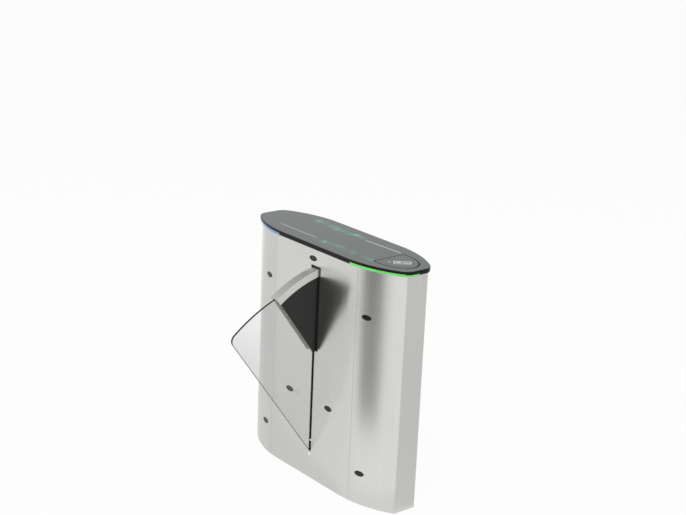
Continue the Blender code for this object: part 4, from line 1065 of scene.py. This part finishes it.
def makeEdgeBars(sizes):
    light, trim, half = sizes["lightFrom"], sizes["lightFrom"] - sizes["lightGap"], sizes["lightGap"] / 2
    laneHalf = ((0, -half, 0), (0, 1, 0))
    bars = {  # name: node, material slot, height, cuts
        "nearLightStrip": ("near_light_strip", "green_diffuser", sizes["stripHeight"],
                           [((light, 0, 0), (-1, 0, 0)), laneHalf]),
        "farLightStrip": ("far_light_strip", "blue_diffuser", sizes["stripHeight"],
                          [((-light, 0, 0), (1, 0, 0)), laneHalf]),
        "laneTrimBand": ("lane_trim_band", "black_plastic", sizes["trimHeight"],
                         [((trim, 0, 0), (1, 0, 0)), ((-trim, 0, 0), (-1, 0, 0)), ((0, 0, 0), (0, 1, 0))]),
        "rearTrimBand": ("rear_trim_band", "black_plastic", sizes["trimHeight"],
                         [((0, half, 0), (0, -1, 0))]),
    }
    for name, (node, slotName, height, cuts) in bars.items():
        ring = addRing("barRing", sizes["proud"], plan["gap"], sizes["frameTo"] - height, sizes["frameTo"])
        bar = partOf(ring, name, cuts, fill=True)
        bpy.data.objects.remove(ring)
        facesOut(bar)
        roundEdges(bar, sizes["barEdge"], 3, sharpCorner)
        dropSlivers(bar)
        finishPiece(bar, "root", slotName, [node])


makeLid(lid)
makeEdgeBars(lid)
print("lid and light strips made")


# what hangs under the display board, seen when the lid is open

boardParts = {
    "under": 0.9896,
    "chip": (0.0150, 0.0066, 0.0018),
    "leg": (0.0007, 0.0094, 0.0005),  # one bar makes a leg on each side
    "legCount": 6,
    "legStep": 0.0022,
    "chipPlaces": [(-0.172 + 0.034 * number, y) for y in (-0.058, 0.006) for number in range(7)],
    "plug": (0.034, 0.0100, 0.0075),
    "plugWall": 0.0011,
    "plugDepth": 0.0060,
    "pin": (0.0010, 0.0010, 0.0050),
    "pinCount": 6,
    "pinStep": 0.005,
    "plugPlaces": [(-0.165, 0.066), (0.020, 0.066)],
    "can": (0.0055, 0.0085),  # radius and height
    "canPlaces": [(-0.116, 0.060), (-0.096, 0.060), (-0.076, 0.060)],
    "screw": (0.0034, 0.0018),
    "screwPlaces": [(x, y) for x in (-0.194, 0.054) for y in (-0.084, 0.084)],
    "rimShare": 0.2,  # width and depth of the round parts' rim, in radii
    "roundSteps": 32,
    "edge": 0.0003,
}


def addUnder(name, x, extent, sizes, finishName):  # a block that hangs from the board
    length, width, height = extent
    low = (x - length / 2, -width / 2, sizes["under"] - height)
    block = addBlock(name, low, (x + length / 2, width / 2, sizes["under"]))
    block.data.materials.append(finish[finishName])
    return block


def addUnderRow(name, count, step, extent, sizes, finishName):
    places = [(number - (count - 1) / 2) * step for number in range(count)]
    return [addUnder(name, x, extent, sizes, finishName) for x in places]


def addRoundUnder(name, radius, height, sizes):
    obj = addRound(name, radius, height, (0, 0, sizes["under"] - height / 2), steps=sizes["roundSteps"])
    recess(obj, radius * sizes["rimShare"], radius * sizes["rimShare"])
    roundEdges(obj, sizes["edge"])
    obj.data.materials.append(finish["brightSteel"])
    return obj


def spreadOut(pattern, name, places, slotName):  # a copy of the pattern at each place
    copies = []
    for x, y in places:
        copy = duplicateOf(pattern, "copy")
        copy.location = (x, y, 0)
        copies.append(copy)
    bpy.data.objects.remove(pattern)
    finishPiece(joinAll(copies, name), "lid", slotName)


def makeBoardParts(sizes):
    chip = addUnder("chip", 0, sizes["chip"], sizes, "blackPlastic")
    roundEdges(chip, sizes["edge"])
    legs = addUnderRow("leg", sizes["legCount"], sizes["legStep"], sizes["leg"], sizes, "brightSteel")
    spreadOut(joinAll([chip, *legs], "chip"), "boardChips", sizes["chipPlaces"], "black_plastic")
    plug = addUnder("plug", 0, sizes["plug"], sizes, "whiteNylon")
    recess(plug, sizes["plugWall"], sizes["plugDepth"])
    roundEdges(plug, sizes["edge"])
    pins = addUnderRow("pin", sizes["pinCount"], sizes["pinStep"], sizes["pin"], sizes, "brightSteel")
    spreadOut(joinAll([plug, *pins], "plug"), "boardPlugs", sizes["plugPlaces"], "white_nylon")
    can = addRoundUnder("can", *sizes["can"], sizes)
    spreadOut(can, "boardCans", sizes["canPlaces"], "bright_steel")
    screw = addRoundUnder("screw", *sizes["screw"], sizes)
    spreadOut(screw, "boardScrews", sizes["screwPlaces"], "bright_steel")


makeBoardParts(boardParts)
print("board parts made")


# wing: the clear leaf, and the shroud's cheeks and rim

wing = {
    "blackFrom": -0.1335,  # the leaf's root is black, as painted shade so that the slot reads dark, from just outside the slot
    "whiteStripe": (0.163, 0.171),  # but level with the guide's pads
    "whiteBelow": 0.1175,  # and at its heel
    "leafEdge": 0.0012,
    "cheekEdge": 0.0005,
    "bareEdge": 0.0030,  # how wide the painted highlight is along a cheek's front, and on its side towards the leaf
    "bareInside": 0.014,  # and on its side towards the leaf
    "rimEdge": 0.0007,
    "rimMiddle": (-0.02406, 0.39839),  # y and z of the rim's arc
    "flatFacing": 0.95,  # the share of a face's normal along X on the leaf's flat sides,
    "lowFacing": 0.3,  # downwards on an edge that shows from below,
    "rimFacing": 0.7,  # and away from the arc's middle on the rim's top
}


def makeLeaf(sizes):
    leaf = copyOfNode("clear_leaf", "clearLeaf")
    roundEdges(leaf, sizes["leafEdge"])
    splitAt(leaf, (0, sizes["blackFrom"], 0), (0, 1, 0))
    low, high = sizes["whiteStripe"]
    for z in (sizes["whiteBelow"], low, high):
        splitAt(leaf, (0, 0, z), (0, 0, 1))

    def pick(centre, normal):
        if centre.y > sizes["blackFrom"]:
            return 3 if low < centre.z < high or centre.z < sizes["whiteBelow"] else 2
        if abs(normal.x) > sizes["flatFacing"]:
            return 0
        # painted highlight on the edges that face down
        return 4 if normal.z < -sizes["lowFacing"] else 1

    sortFaces(leaf, ("clearSheet", "clearEdge", "blackPlastic", "whiteNylon", "clearLowEdge"), pick)
    finishPiece(leaf, "flap", "clear_sheet", ["clear_leaf"])


def makeShroud(sizes):
    for side in ("near", "far"):
        node = "shroud_" + side + "_cheek"
        cheek = copyOfNode(node, side + "Cheek")
        edges = [face for face in cheek.data.polygons
                 if face.normal.z < -sizes["lowFacing"] and abs(face.normal.x) < 1 - squarely]
        front = max(edges, key=lambda face: face.area)
        edge, out = front.center.copy(), front.normal.copy()
        # painted highlight: a strip along each cheek's front takes the rim's darker metal, and a strip on
        # its inner side white nylon, to show a pale line along its edge
        for width in (sizes["bareEdge"], sizes["bareInside"]):
            splitAt(cheek, edge - out * width, out)
        roundEdges(cheek, sizes["cheekEdge"])

        def pick(centre, normal):
            inwards = normal.x * (1 if side == "far" else -1) > roughly
            back = out.dot(edge - centre)
            if inwards:
                return 2 if back < sizes["bareInside"] else 0
            return 1 if back < sizes["bareEdge"] else 0

        sortFaces(cheek, ("blackCoat", "rimTop", "whiteNylon"), pick)
        finishPiece(cheek, "shroud", "black_coat", [node])
    rim = copyOfNode("shroud_rim", "shroudRim")
    roundEdges(rim, sizes["rimEdge"])
    # painted shade: the rim's faces that look away from its arc's middle take the darker copy of its metal
    y, z = sizes["rimMiddle"]

    def pick(centre, normal):
        out = Vector((0, centre.y - y, centre.z - z)).normalized()
        return int(normal.dot(out) > sizes["rimFacing"])

    sortFaces(rim, ("rimAluminium", "rimTop"), pick)
    finishPiece(rim, "shroud", "rim_aluminium", ["shroud_rim"])


makeLeaf(wing)
makeShroud(wing)
print("wing made")


# guide at the slot's foot: rails behind the panel, a round foot and two pads in the slot

guide = {
    "plate": ((-0.026, -0.1277, 0.080), (0.026, -0.1237, 0.190)),  # corners, x from the slot's middle
    "foot": ((-0.0077, -0.130, 0.104), (0.0077, -0.1257, 0.120)),
    "pads": ((-0.0077, -0.130, 0.163), (0.0077, -0.1257, 0.171)),
    "pivot": (-0.065, 0.150),  # y and z
    "reach": 0.0757,  # the leaf's heel passes inside this
    "pathSteps": 160,
    "railHalf": 0.0063,
    "padHalf": 0.0054,
    "edge": 0.0004,
}


def addAtSlot(name, corners):
    x = housing["slotMiddle"]
    return addBlock(name, *[(x + corner[0], *corner[1:]) for corner in corners])


def leafPath(half, sizes):  # the room that the leaf's heel sweeps
    place = (housing["slotMiddle"], *sizes["pivot"])
    return addRound("leafPath", sizes["reach"], 2 * half, place, (0, math.pi / 2, 0), sizes["pathSteps"])


def makeGuide(sizes):
    body = addAtSlot("slotGuide", sizes["plate"])
    cutAway(body, leafPath(sizes["railHalf"], sizes))
    front = addAtSlot("foot", sizes["foot"])
    low, high = sizes["foot"]
    place = (housing["slotMiddle"], (low[1] + high[1]) / 2, low[2])
    unite(front, addRound("footEnd", high[0], high[1] - low[1], place, lying))
    unite(front, addAtSlot("pads", sizes["pads"]))
    cutAway(front, leafPath(sizes["padHalf"], sizes))
    unite(body, front)
    facesOut(body)
    roundEdges(body, sizes["edge"])
    dropSlivers(body)
    finishPiece(body, "root", "white_nylon", ["slot_guide"])


makeGuide(guide)
print("slot guide made")


# the rest of the CAD pieces keep their shape

slotOf = {part["node"]: part["material_slot"] for part in frame["record"]["subparts"]}
for nodeName, node in nodes.items():
    node.data.materials.clear()
    node.data.materials.append(materialOf(slotOf[nodeName]))
print("CAD pieces finished")
